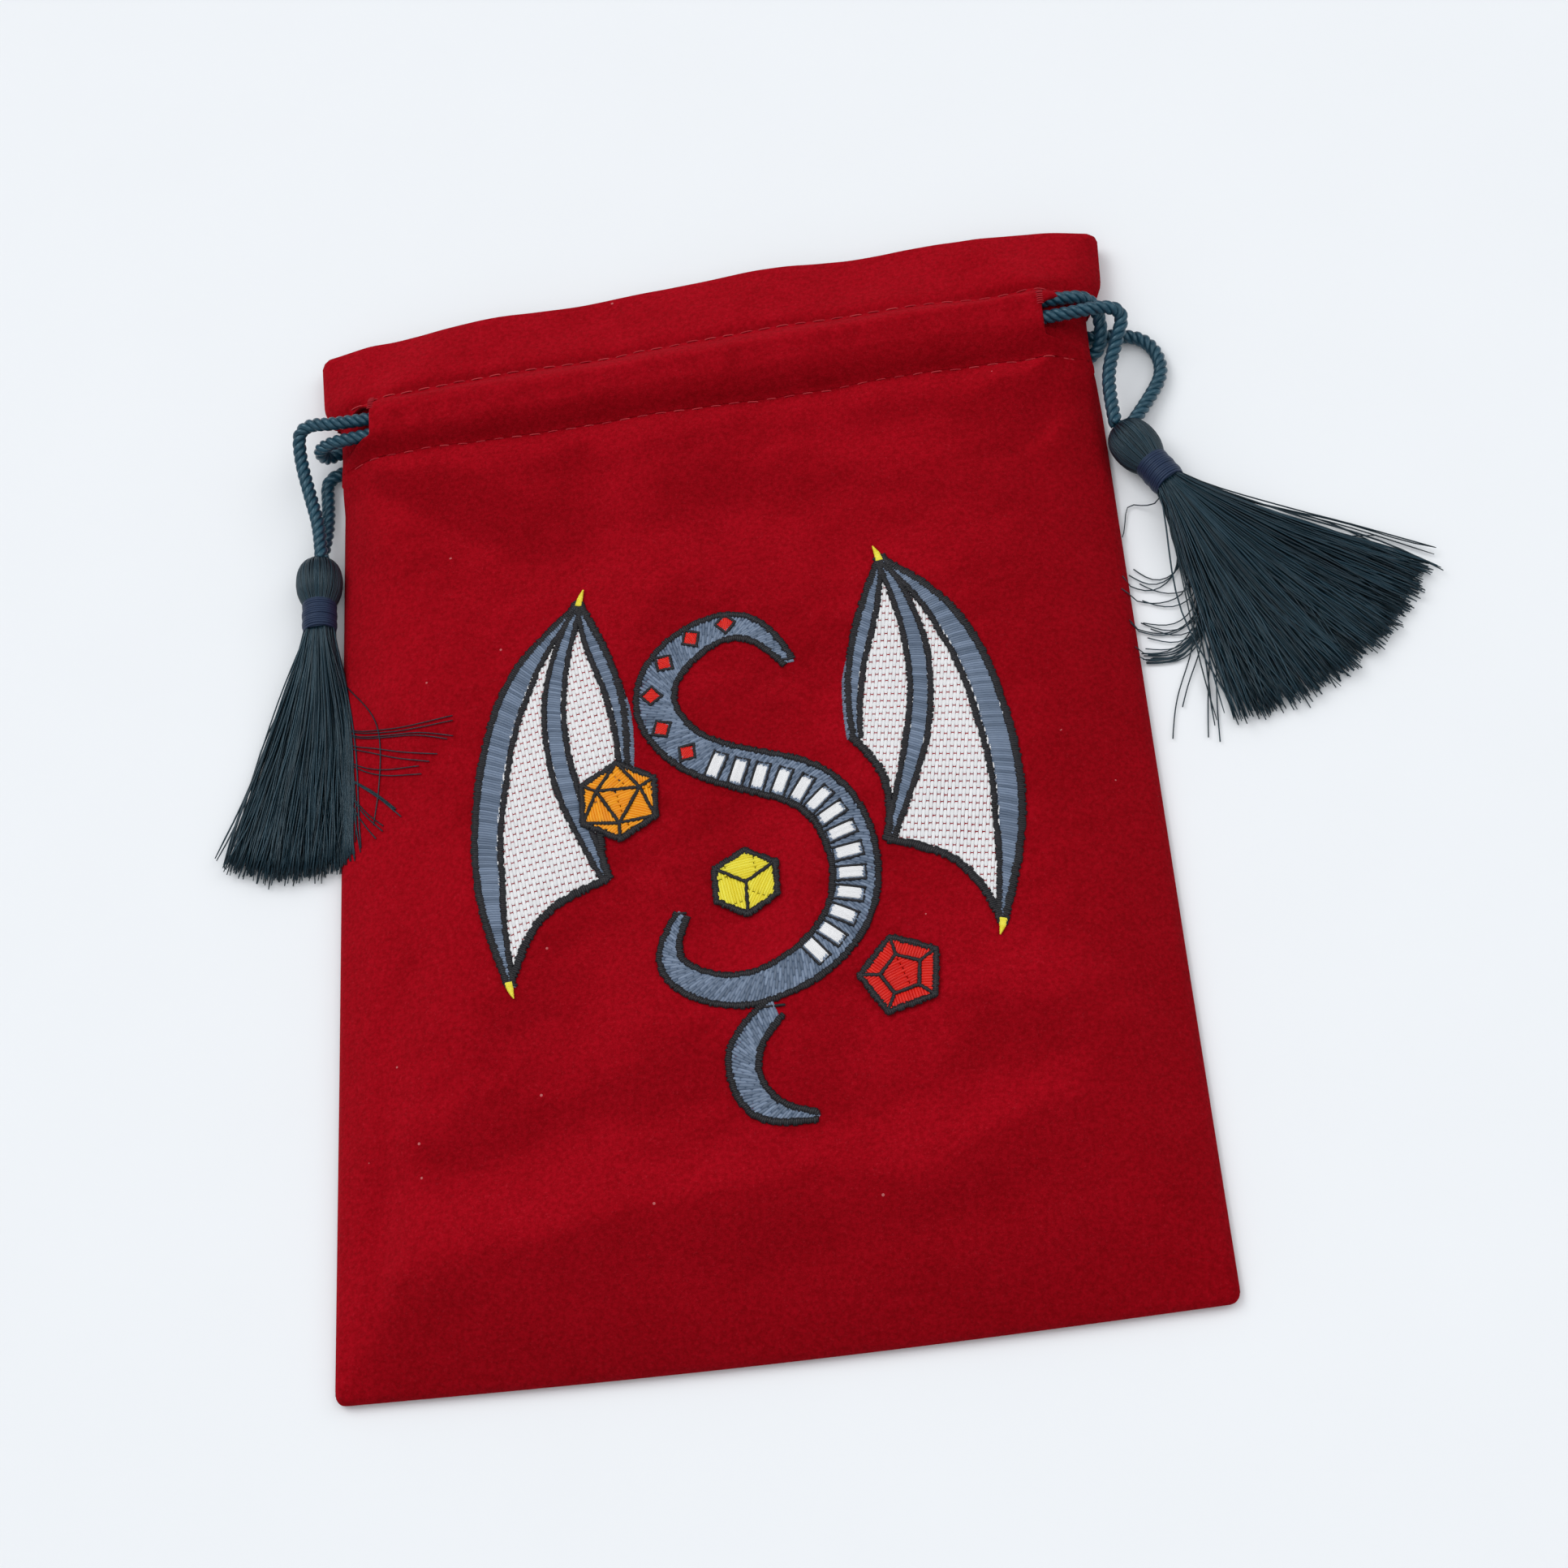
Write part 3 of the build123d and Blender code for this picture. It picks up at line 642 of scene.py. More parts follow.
def casings(velvet):
    """The cloth over the front cords and under the back ones."""
    for side, sign in SIDES:
        front = grid_piece(f"front_casing_{side}", casing_grid(sign), velvet, sign < 0)
        thicken(front, 0.3)
        gather(front, ["front_casing"])
        back = grid_piece(f"back_casing_{side}", back_casing_grid(sign), velvet, sign > 0)
        thicken(back, 0.25)
        gather(back, ["back_casing"])


# --- twisted cords ------------------------------------------------------------------------------------
def sampled_route(name, route):
    """Points along a smooth curve through the route's control points, about 0.3 mm apart, in millimetres."""
    data = bpy.data.curves.new(name, "CURVE")
    data.dimensions = "3D"
    data.resolution_u = 24
    spline = data.splines.new("NURBS")
    spline.points.add(len(route) - 1)
    for point, place in zip(spline.points, route):
        point.co = (*[c * MM for c in place], 1)
    spline.order_u = 3
    spline.use_endpoint_u = True
    carrier = bpy.data.objects.new(name, data)
    bpy.context.scene.collection.objects.link(carrier)
    bpy.context.view_layer.update()
    mesh = bpy.data.meshes.new_from_object(carrier)
    points = np.array([v.co for v in mesh.vertices]) / MM
    bpy.data.objects.remove(carrier)
    bpy.data.meshes.remove(mesh)
    return evenly(points, 0.3)


def evenly(points, step):
    """The same line with points an equal distance apart."""
    run = np.concatenate([[0], np.cumsum(np.linalg.norm(np.diff(points, axis=0), axis=1))])
    places = np.linspace(0, run[-1], max(2, int(round(run[-1] / step)) + 1))
    return np.stack([np.interp(places, run, points[:, axis]) for axis in range(points.shape[1])], axis=1)


def frames(points):
    """A direction and two cross directions at each point, turning as little as possible along the line."""
    ahead = np.gradient(points, axis=0)
    ahead /= np.linalg.norm(ahead, axis=1)[:, None]
    side = np.zeros_like(ahead)
    start = np.cross(ahead[0], (0, 0, 1.0))
    if np.linalg.norm(start) < 0.1:
        start = np.cross(ahead[0], (0, 1.0, 0))
    side[0] = start / np.linalg.norm(start)
    for index in range(1, len(points)):
        moved = side[index - 1] - ahead[index] * (side[index - 1] @ ahead[index])
        side[index] = moved / np.linalg.norm(moved)
    return ahead, side, np.cross(ahead, side)


class Tubes:
    """Many tubes gathered into one mesh, each with the attributes that its thread material needs."""

    def __init__(self):
        self.points, self.faces = [], []
        self.across, self.along, self.tone = [], [], []
        self.count = 0

    def add(self, line, radius, sides=6, tone=0.5, twist=0.0, flat=1.0, phase=0.0):
        radius = np.broadcast_to(radius, len(line))
        _, side, up = frames(line)
        run = np.concatenate([[0], np.cumsum(np.linalg.norm(np.diff(line, axis=0), axis=1))])
        angle = np.linspace(0, 2 * math.pi, sides, endpoint=False) + phase
        sideways = np.cos(angle)[None, :, None] * side[:, None, :]
        ring = (sideways + flat * np.sin(angle)[None, :, None] * up[:, None, :]) * radius[:, None, None]
        self.points.append((line[:, None, :] + ring).reshape(-1, 3))
        self.faces += grid_faces(len(line), sides, self.count, wrap=True)
        last = self.count + (len(line) - 1) * sides
        self.faces.append(tuple(range(self.count + sides - 1, self.count - 1, -1)))
        self.faces.append(tuple(range(last, last + sides)))
        self.across.append(np.tile(np.sin(angle), len(line)) * 0.5 + twist * np.repeat(run, sides))
        self.along.append(np.repeat(run, sides))
        self.tone.append(np.full(len(line) * sides, tone))
        self.count += len(line) * sides

    def piece(self, name, material):
        attributes = {
            "across": np.concatenate(self.across), "along": np.concatenate(self.along),
            "tone": np.concatenate(self.tone),
        }
        return new_mesh(name, np.concatenate(self.points), self.faces, material, attributes)


STRANDS = 3
STRAND_R = 0.55
STRAND_OFFSET = 0.60
LAY = 4.1                       # length of one turn of the strands


def rope(side_of_bag, route, material):
    """One drawcord: strands twisted round its route, both of whose ends go into the tassel that hangs on
    them.
    """
    line = sampled_route("route", route)
    _, side, up = frames(line)
    run = np.arange(len(line)) * np.linalg.norm(line[1] - line[0])
    tubes = Tubes()
    for strand in range(STRANDS):
        turn = 2 * math.pi * (run / LAY + strand / STRANDS)
        offset = side * np.cos(turn)[:, None] + up * np.sin(turn)[:, None]
        tubes.add(line + offset * STRAND_OFFSET, STRAND_R, 12, tone=0.25 + 0.25 * strand, twist=-0.32)
    piece = tubes.piece(f"twisted_cord_{side_of_bag}", material)
    ride(piece, f"cord_{side_of_bag}", f"drawstring_{side_of_bag}")


# --- tassels ------------------------------------------------------------------------------------------
HEAD_R, HEAD_Z = 3.8, 3.85
HEAD_THREADS, HEAD_THREAD_R = 104, 0.15
BINDING_START, BINDING_END = 3.5, 8.5
BINDING_R, BINDING_PITCH = 2.62, 0.37
SKIRT_THREADS, THREAD_POINTS, THREAD_D, STRAY_D = 680, 13, 0.28, 0.21


def tassel_frame(head, axis):
    angle = math.radians(axis)
    ahead = np.array([math.cos(angle), math.sin(angle), 0])
    side = np.array([-math.sin(angle), math.cos(angle), 0])
    return np.array([head[0], head[1], HEAD_Z]), ahead, side, np.array([0, 0, 1.0])


def head_radius(t):
    """Outer radius of the thread cover at t along the tassel's axis, from the cords to the binding."""
    dome = HEAD_R * (1 - np.clip(-t / 4.75, 0, 1) ** 2.6) ** (1 / 2.6)
    neck = np.interp(t, [-6, 0, 1.4, 2.4, 3.2, 3.8, 4.8], [1, 1, 0.95, 0.86, 0.76, 0.70, 0.66])
    return dome * neck


def tassel_head(name, head, axis, material):
    """Threads laid side by side over the bead, from the cords' ends down into the binding."""
    centre, ahead, side, up = tassel_frame(head, axis)
    draw = np.random.default_rng(11)
    tubes = Tubes()
    ts = np.concatenate([-4.7 * np.sin(np.linspace(math.pi / 2, 0, 11)), np.linspace(0.4, 4.6, 10)])
    for index in range(HEAD_THREADS):
        angle = 2 * math.pi * (index + draw.uniform(-0.2, 0.2)) / HEAD_THREADS
        drift = draw.uniform(-0.05, 0.05)
        inset = draw.uniform(0, 0.05)
        line = []
        for t in ts:
            r = max(float(head_radius(np.array(t))) - 0.12 - inset, 0.55)
            a = angle + drift * t / 4
            line.append(centre + ahead * t + (side * math.cos(a) + up * math.sin(a)) * r)
        tubes.add(np.array(line), HEAD_THREAD_R, 5, tone=draw.uniform(0, 1))
    tubes.add(centre + ahead * ts[:, None], np.maximum(head_radius(ts) - 0.20, 0.4), 40, tone=0.1)
    return tubes.piece(name, material)


def tassel_binding(name, head, axis, material):
    """Thread wound round the neck, with its end tucked under."""
    centre, ahead, side, up = tassel_frame(head, axis)
    draw = np.random.default_rng(12)
    tubes = Tubes()
    turns = (BINDING_END - BINDING_START) / BINDING_PITCH
    angle = np.linspace(0, 2 * math.pi * turns, int(turns * 36))
    wobble = 0.03 * np.sin(angle * 0.37 + 1) + 0.02 * np.sin(angle * 1.13)
    t = BINDING_START + BINDING_PITCH * angle / (2 * math.pi) + wobble
    r = BINDING_R + 0.05 * np.sin(angle * 0.21) - 0.10 * np.abs((t - 6.0) / 2.5) ** 3
    ring = side * np.cos(angle)[:, None] + up * np.sin(angle)[:, None]
    tubes.add(centre + ahead * t[:, None] + ring * r[:, None], 0.215, 8, tone=0.5)
    core = centre + ahead * np.linspace(BINDING_START, BINDING_END, 4)[:, None]
    tubes.add(core, BINDING_R - 0.08, 40, tone=draw.uniform(0.3, 0.6))
    return tubes.piece(name, material)


def tassel_knot(name, head, axis, material):
    """The cord's ends tied together inside the bead."""
    centre, ahead, side, up = tassel_frame(head, axis)
    turn = np.linspace(0, 2 * math.pi, 60)
    x = np.sin(turn) + 2 * np.sin(2 * turn)
    y = np.cos(turn) - 2 * np.cos(2 * turn)
    z = -np.sin(3 * turn)
    line = centre + 0.27 * (x[:, None] * side + y[:, None] * up) + 0.45 * z[:, None] * ahead
    tubes = Tubes()
    tubes.add(line, 0.42, 10)
    return tubes.piece(name, material)


def over_cloth(points, clearance):
    """Lift points that would be inside the bag onto its surface."""
    x, y = points[:, 0], points[:, 1]
    beside = half_width(y) - np.abs(x)
    cloth = front_height(np.sign(x) * np.minimum(np.abs(x), half_width(y)), y)
    cover = np.where((beside > -0.2) & (y < ROW_LOW), cloth, 0)
    lifted = points.copy()
    lifted[:, 2] = np.maximum(points[:, 2], cover + clearance)
    return lifted


def skirt_thread(draw, fan, place_of):
    """One thread of the skirt, from inside the binding to its end, and the phase of its kinks."""
    middle, width, reach = fan
    start, out, ahead, side, up = place_of
    share = draw.uniform(-1, 1) if draw.uniform() < 0.72 else draw.normal(0, 0.45)
    share = max(-1.12, min(1.12, share))
    depth = draw.uniform(0, 1)
    angle = math.radians(middle + share * width)
    way = np.array([math.cos(angle), math.sin(angle), 0])
    across = np.array([-way[1], way[0], 0])
    length = reach * (1.0 + draw.normal(0, 0.018) - 0.03 * share ** 2 - 0.05 * (draw.uniform() < 0.08))
    level = 2 * depth - 1
    bundle = side * (share * 2.3 * math.sqrt(max(0.0, 1 - level ** 2 * 0.6))) + up * level * 1.8
    lie = 0.3 + 3.0 * depth * (1 - 0.25 * abs(share)) * draw.uniform(0.75, 1)
    bow = draw.normal(0, 0.9)
    kink = draw.normal(0, 0.35)
    phase = draw.uniform(0, 6.28)
    line = [start + bundle * 0.95]
    for s in np.arange(THREAD_POINTS) / (THREAD_POINTS - 1):
        fanned = smoothstep(np.array(s * 1.8))
        place = out + bundle * (1 + 0.6 * s) * (1 - 0.25 * s) + way * length * s
        place = place + (ahead - way) * length * s * (1 - s) ** 4 * 0.5
        place = place + across * (bow * math.sin(s * math.pi) + kink * math.sin(s * 9 + phase) * s)
        wave = 0.25 * math.sin(s * 7 + phase)
        place[2] = (HEAD_Z + bundle[2]) * (1 - fanned) + lie * fanned + wave * fanned
        line.append(place)
    line = np.array(line)
    line[:, 2] = np.maximum(line[:, 2], THREAD_D / 2 + 0.02)
    return over_cloth(line, THREAD_D / 2 + 0.05), phase


def tassel_skirt(name, head, axis, fan, strays, material, seed):
    """Some hundreds of threads, gathered at the binding and spread flat, with loose ones round them."""
    centre, ahead, side, up = tassel_frame(head, axis)
    draw = np.random.default_rng(seed)
    tubes = Tubes()
    out = centre + ahead * (BINDING_END + 0.1)
    place_of = (centre + ahead * (BINDING_END - 1.0), out, ahead, side, up)
    for _ in range(SKIRT_THREADS):
        line, phase = skirt_thread(draw, fan, place_of)
        taper = np.full(len(line), THREAD_D / 2)
        taper[-1] *= 0.6
        tubes.add(line, taper, 4, tone=draw.uniform(0, 1), phase=phase)
    for way_points, amount, scatter in strays:
        for _ in range(amount):
            astray = draw.normal(0, scatter, 2)
            first = (out + side * draw.uniform(-1.6, 1.6))[:2]
            ways = [np.array(p) + astray * (i + 1) / len(way_points) for i, p in enumerate(way_points)]
            flat = evenly(curve([first, *ways], 0.3), 1.2)
            settled = smoothstep(np.linspace(0, 1, len(flat)) * 2.2)
            height = 0.5 + (HEAD_Z + draw.uniform(-1.2, 1.2) - 0.5) * (1 - settled)
            line = over_cloth(np.column_stack([flat, height]), STRAY_D / 2 + 0.1)
            tubes.add(line, STRAY_D / 2, 4, tone=draw.uniform(0.2, 0.8))
    return tubes.piece(name, material)


LEFT_HEAD, LEFT_AXIS, LEFT_FAN = (-66.2, 45.0), -90.0, (-98.0, 12.0, 41.5)
RIGHT_HEAD, RIGHT_AXIS, RIGHT_FAN = (67.3, 48.2), -60.0, (-55.0, 25.5, 41.5)
# loose threads: points that a few of them pass, how many, and how far apart they end
LEFT_STRAYS = [
    ([(-62.4, 26.8), (-56.1, 16.5), (-55.7, 10.3), (-57.2, 0.0)], 1, 0.2),
    ([(-62.0, 18.4), (-57.0, 15.8), (-49.6, 14.4), (-43.4, 14.6)], 2, 0.5),
    ([(-61.8, 17.2), (-56.1, 14.2), (-49.6, 12.6), (-44.0, 10.7)], 2, 0.6),
    ([(-61.7, 15.3), (-57.1, 12.6), (-52.0, 10.2), (-46.9, 8.6)], 2, 0.6),
    ([(-61.3, 12.2), (-56.2, 8.8), (-48.5, 7.0)], 2, 0.7),
    ([(-61.2, 9.0), (-57.1, 5.0), (-53.0, 0.4)], 4, 1.2),
    ([(-61.6, 6.0), (-59.4, 1.5), (-57.0, -2.0)], 3, 1.0),
]
RIGHT_STRAYS = [
    ([(71.1, 31.0), (73.7, 22.4), (72.4, 15.6), (68.7, 12.2), (64.0, 12.4)], 14, 0.9),
    ([(72.4, 26.4), (73.3, 19.0), (69.4, 16.2), (64.0, 18.1)], 5, 1.2),
    ([(72.6, 27.0), (72.0, 22.0), (68.9, 20.3), (63.6, 21.9)], 4, 1.2),
    ([(71.6, 31.0), (70.6, 26.7), (67.6, 25.0), (63.7, 27.3)], 3, 1.0),
    ([(72.2, 26.0), (71.2, 13.7), (67.9, 5.8), (66.2, -1.0)], 1, 0.3),
    ([(74.6, 25.0), (74.0, 14.4), (72.4, 5.1), (71.4, -2.0)], 2, 0.9),
    ([(73.0, 26.0), (72.6, 13.5), (70.0, 7.6), (68.4, 3.5)], 1, 0.3),
    ([(69.2, 38.4), (64.9, 39.8), (63.9, 37.2), (63.1, 33.7)], 1, 0.1),
    ([(90.0, 26.0), (103.0, 20.0)], 5, 1.6),
    ([(88.0, 30.0), (102.0, 26.5)], 4, 1.2),
]


def tassels_and_cords():
    """Both drawcords, and the four parts and the bead of each tassel."""
    teal = thread_material(
        "tassel_thread", (0.0010, 0.006, 0.011), (0.007, 0.033, 0.053), 0.3, 0.55, tint=(0.7, 0.9, 1.0)
    )
    navy = thread_material(
        "binding_thread", (0.014, 0.026, 0.066), (0.020, 0.036, 0.084), 0.45, 0.4, tint=(0.7, 0.85, 1.0)
    )
    twisted = thread_material(
        "cord", (0.006, 0.036, 0.062), (0.011, 0.060, 0.098), 0.28, 0.7, 0.4, tint=(0.6, 0.88, 1.0)
    )
    wood = Shader("bead_wood")
    grain = wood.noise(wood.coordinates(), 800, 4)
    wood.set(Base_Color=wood.mix(grain, (0.42, 0.25, 0.12), (0.55, 0.36, 0.2)), Roughness=0.6)
    for side, route, head, axis, fan, strays, seed, length in (
        ("left", LEFT_ROUTE, LEFT_HEAD, LEFT_AXIS, LEFT_FAN, LEFT_STRAYS, 51, 0.309),
        ("right", RIGHT_ROUTE, RIGHT_HEAD, RIGHT_AXIS, RIGHT_FAN, RIGHT_STRAYS, 52, 0.311),
    ):
        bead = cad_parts[f"tassel_{side}_bead"]
        bead.data.materials.clear()
        bead.data.materials.append(wood.material)
        for part, piece in (
            ("head", tassel_head(f"thread_head_{side}", head, axis, teal)),
            ("binding", tassel_binding(f"wound_binding_{side}", head, axis, navy)),
            ("knot", tassel_knot(f"tied_knot_{side}", head, axis, twisted)),
            ("skirt", tassel_skirt(f"thread_skirt_{side}", head, axis, fan, strays, teal, seed)),
        ):
            ride(piece, f"tassel_{side}", f"tassel_{side}_{part}")
        rope(side, route, twisted)


# --- embroidery ---------------------------------------------------------------------------------------
EMBLEM_X = 1.5
WING_TIP, WING_FOOT, WING_POINT, WING_ROOT = (24.0, 32.0), (37.0, -32.0), (21.5, -16.5), (17.5, 1.0)
LEADING_EDGE = [WING_TIP, (34.5, 21.0), (40.5, 4.0), (41.5, -14.0), WING_FOOT]
INNER_EDGE = [WING_ROOT, (17.5, 12.0), WING_TIP]
MIDDLE_SPAR = [WING_TIP, (28.0, 18.0), (27.5, 2.0), WING_POINT]
INNER_SPAR = [WING_ROOT, (18.0, 12.0), (21.5, 23.0), WING_TIP]
LOWER_SCALLOP = [WING_FOOT, (31.0, -21.0), WING_POINT]
ROOT_SCALLOP = [WING_POINT, (21.5, -6.0), WING_ROOT]
WING_EDGES = (LEADING_EDGE, LOWER_SCALLOP, ROOT_SCALLOP, INNER_EDGE)
SCROLL = [
    (10, 16), (3, 23), (-7, 20), (-11, 12), (-7, 4), (2, -1), (12, -6), (17, -15), (16, -27), (8, -35),
    (-3, -37), (-11, -31), (-9, -24),
]
SCROLL_WIDTHS = [1.6, 4.0, 5.4, 6.0, 6.2, 6.6, 7.0, 7.0, 6.6, 6.0, 5.2, 4.0, 1.6]
TAIL = [(4, -41), (-1, -48), (1, -55), (9, -58)]
TAIL_WIDTHS = [3.4, 4.6, 4.0, 1.0]
# each die's middle, radius and number of corners
DICE = {"orange": (-17.5, -4.0, 6.4, 6), "yellow": (1.0, -19.8, 5.3, 6), "red": (23.0, -38.0, 6.2, 5)}
RUNGS, RUNG_HALF = 14, 2.1      # light bars across the scroll
DIAMONDS = 6                    # red diamonds along its start


def curve(points, step=0.1):
    """A smooth line through points, sampled evenly."""
    points = np.array(points, float)
    gaps = np.linalg.norm(np.diff(points, axis=0), axis=1)
    knots = np.concatenate([[0], np.cumsum(gaps)])
    count = len(points)
    matrix = np.eye(count)
    right = np.zeros_like(points)
    for i in range(1, count - 1):
        matrix[i, i - 1:i + 2] = gaps[i - 1], 2 * (gaps[i - 1] + gaps[i]), gaps[i]
        right[i] = 6 * ((points[i + 1] - points[i]) / gaps[i] - (points[i] - points[i - 1]) / gaps[i - 1])
    bend = np.linalg.solve(matrix, right)
    places = np.linspace(0, knots[-1], int(knots[-1] / step) + 2)
    i = np.clip(np.searchsorted(knots, places) - 1, 0, count - 2)
    h = gaps[i][:, None]
    a = ((knots[i + 1] - places)[:, None]) / h
    b = 1 - a
    bent = (a ** 3 - a) * bend[i] + (b ** 3 - b) * bend[i + 1]
    return evenly(a * points[i] + b * points[i + 1] + bent * h ** 2 / 6, step)


def mirrored(points, sign):
    """Points of the emblem's right half, or the same on its left half."""
    return [(EMBLEM_X + sign * x, y) for x, y in points]


def along(line, spacing):
    """Places every spacing along a line, the direction across it, and the share of the way to each."""
    places = evenly(line, spacing)
    ahead = np.gradient(places, axis=0)
    ahead /= np.linalg.norm(ahead, axis=1)[:, None]
    return places, np.stack([-ahead[:, 1], ahead[:, 0]], axis=1), np.linspace(0, 1, len(places))


class Stitches:
    """Embroidery stitches gathered into one mesh: each a rounded strip whose ends go down into the cloth."""

    def __init__(self, seed):
        self.draw = np.random.default_rng(seed)
        self.rows = []

    def add(self, start, end, level=0.0, width=0.42, height=0.2):
        self.rows.append((*start, *end, level, width, height))

    def satin(self, points, widths, level=0.0, spacing=0.40, slant=0.25, height=0.3, jitter=0.06):
        places, across, share = along(curve(points), spacing)
        half = np.interp(share, np.linspace(0, 1, len(widths)), widths) / 2
        ahead = np.stack([across[:, 1], -across[:, 0]], axis=1)
        for place, side, way, reach in zip(places, across, ahead, half):
            lean = way * reach * slant
            noise = self.draw.uniform(-jitter, jitter, 2)
            low, high = place - side * (reach + noise[0]) - lean, place + side * (reach + noise[1]) + lean
            self.add(low, high, level, 0.5, height)

    def edge(self, points, width, level, spacing=0.33, height=0.34, jitter=0.15):
        """A narrow outline of even width."""
        self.satin(points, [width, width], level, spacing, 0.1, height, jitter)

    def band(self, points, widths, level, spacing=0.46, slant=0.5, stitch=2.2, height=0.30):
        """A wide band filled with crossings that are each cut into several stitches."""
        places, across, share = along(curve(points), spacing)
        half = np.interp(share, np.linspace(0, 1, len(widths)), widths) / 2
        ahead = np.stack([across[:, 1], -across[:, 0]], axis=1)
        for number, (place, side, way, reach) in enumerate(zip(places, across, ahead, half)):
            cuts = self.cuts(-reach, reach, stitch, number * stitch * 0.37)
            for low, high in zip(cuts, cuts[1:]):
                start, end = place + side * low + way * low * slant, place + side * high + way * high * slant
                self.add(start, end, level, 0.52, height)

    def cuts(self, low, high, stitch, offset):
        inner = np.arange(math.floor(low / stitch) * stitch - stitch + offset % stitch, high, stitch)
        inner = [c + self.draw.uniform(-0.1, 0.1) for c in inner if low + 0.5 < c < high - 0.5]
        return [low, *inner, high]

    def fill(self, outline, angle, level, spacing, stitch, height, width, gap=0.05):
        """Parallel rows of stitches clipped to a closed outline."""
        turn = math.radians(angle)
        way = np.array([math.cos(turn), math.sin(turn)])
        side = np.array([-way[1], way[0]])
        along_row, across_row = outline @ way, outline @ side
        number = 0
        corners = list(zip(np.roll(across_row, 1), across_row, np.roll(along_row, 1), along_row))
        for row in np.arange(across_row.min() + spacing / 2, across_row.max(), spacing):
            crossed = [corner for corner in corners if (corner[0] - row) * (corner[1] - row) < 0]
            hits = sorted(c + (row - a) / (b - a) * (d - c) for a, b, c, d in crossed)
            for low, high in zip(hits[::2], hits[1::2]):
                if high - low < 0.4:
                    continue
                cuts = self.cuts(low, high, stitch, number * stitch * 0.5)
                for first, last in zip(cuts, cuts[1:]):
                    start, end = way * (first + gap) + side * row, way * (last - gap) + side * row
                    self.add(start, end, level, width, height)
            number += 1

    def line(self, points, level, stitch=1.6, width=0.42, height=0.3):
        places = evenly(np.array(points, float), stitch)
        for first, last in zip(places, places[1:]):
            self.add(first, last, level, width, height)

    def piece(self, name, node, material, slot):
        rows = np.array(self.rows)
        start, end = rows[:, 0:2], rows[:, 2:4]
        level, width, height = rows[:, 4], rows[:, 5], rows[:, 6]
        way = end - start
        length = np.linalg.norm(way, axis=1)
        side = np.stack([-way[:, 1], way[:, 0]], axis=1) / np.maximum(length, 0.01)[:, None]
        sections = np.array([0.0, 0.14, 0.5, 0.86, 1.0])
        rise = np.array([-0.1, 0.8, 1.0, 0.8, -0.1])
        narrow = np.array([0.7, 1.0, 1.0, 1.0, 0.7])
        profile = np.array([-0.5, -0.34, 0.0, 0.34, 0.5])
        dome = np.array([0.0, 0.72, 1.0, 0.72, 0.0])
        base = start[:, None, :] + way[:, None, :] * sections[None, :, None]
        flat = base[:, :, None, :] + side[:, None, None, :] * (
            width[:, None] * narrow[None, :])[:, :, None, None] * profile[None, None, :, None]
        ground = front_height(base[..., 0], base[..., 1])
        z = ground[:, :, None] + level[:, None, None] + (
            height[:, None] * rise[None, :])[:, :, None] * dome[None, None, :]
        points = np.concatenate([flat, z[..., None]], axis=-1).reshape(-1, 3)
        count = len(rows)
        cell = np.array(grid_faces(5, 5))
        faces = (cell[None, :, :] + (np.arange(count) * 25)[:, None, None]).reshape(-1, 4)[:, ::-1]
        tone = self.draw.uniform(0, 1, count)
        attributes = {
            "across": np.tile(np.tile(profile, 5), count),
            "along": (length[:, None, None] * sections[None, :, None] * np.ones((1, 1, 5))).reshape(-1),
            "tone": np.repeat(tone, 25),
        }
        piece = new_mesh(name, points, faces.tolist(), material, attributes)
        ride(piece, "pouch", node)


def offset_curve(points, widths, sign):
    """One edge of a band that runs along points."""
    places, across, share = along(curve(points), 0.4)
    half = np.interp(share, np.linspace(0, 1, len(widths)), widths) / 2
    return places + sign * across * half[:, None]


def polygon(name, scale=1.0):
    x, y, radius, sides = DICE[name]
    angle = math.radians(30) + np.linspace(0, 2 * math.pi, sides, endpoint=False)
    return np.stack([x + scale * radius * np.cos(angle), y + scale * radius * np.sin(angle)], axis=1)


def facets(name):
    """The faces of a die as it is drawn: outlines, each with the direction of its stitches."""
    rim = polygon(name)
    middle = np.array(DICE[name][:2])
    if name == "orange":
        inner = polygon(name, 0.60)[::2]
        faces = [(inner, 15)]
        for k in range(3):
            a, b = inner[k], inner[(k + 1) % 3]
            corner = rim[(2 * k + 1) % 6]
            faces.append((np.array([a, corner, b]), 60 * k + 40))
            faces.append((np.array([a, rim[2 * k], corner]), 60 * k + 95))
            faces.append((np.array([b, corner, rim[(2 * k + 2) % 6]]), 60 * k - 20))
        return faces
    if name == "yellow":
        return [(np.array([middle, rim[k], rim[(k + 1) % 6], rim[(k + 2) % 6]]), angle)
                for k, angle in ((0, 8), (2, 100), (4, 62))]
    inner = polygon(name, 0.52)
    faces = [(inner, 20)]
    for k in range(5):
        after = (k + 1) % 5
        faces.append((np.array([inner[k], rim[k], rim[after], inner[after]]), 72 * k + 66))
    return faces


def around(points):
    """The sides of a closed outline."""
    return zip(points, np.roll(points, -1, axis=0))


def on_scroll(share, aside):
    """A place on the scroll beside its middle, and the directions across and along the scroll there."""
    places, across, _ = along(curve(SCROLL), 0.2)
    at = int(share * (len(places) - 1))
    side = across[at]
    return places[at] - side * aside, side, np.array([side[1], -side[0]])


def rung_places():
    return [on_scroll(0.365 + 0.0285 * step, 0.7) for step in range(RUNGS)]


def diamond_places():
    return [on_scroll(0.10 + 0.045 * step, 0.6) for step in range(DIAMONDS)]


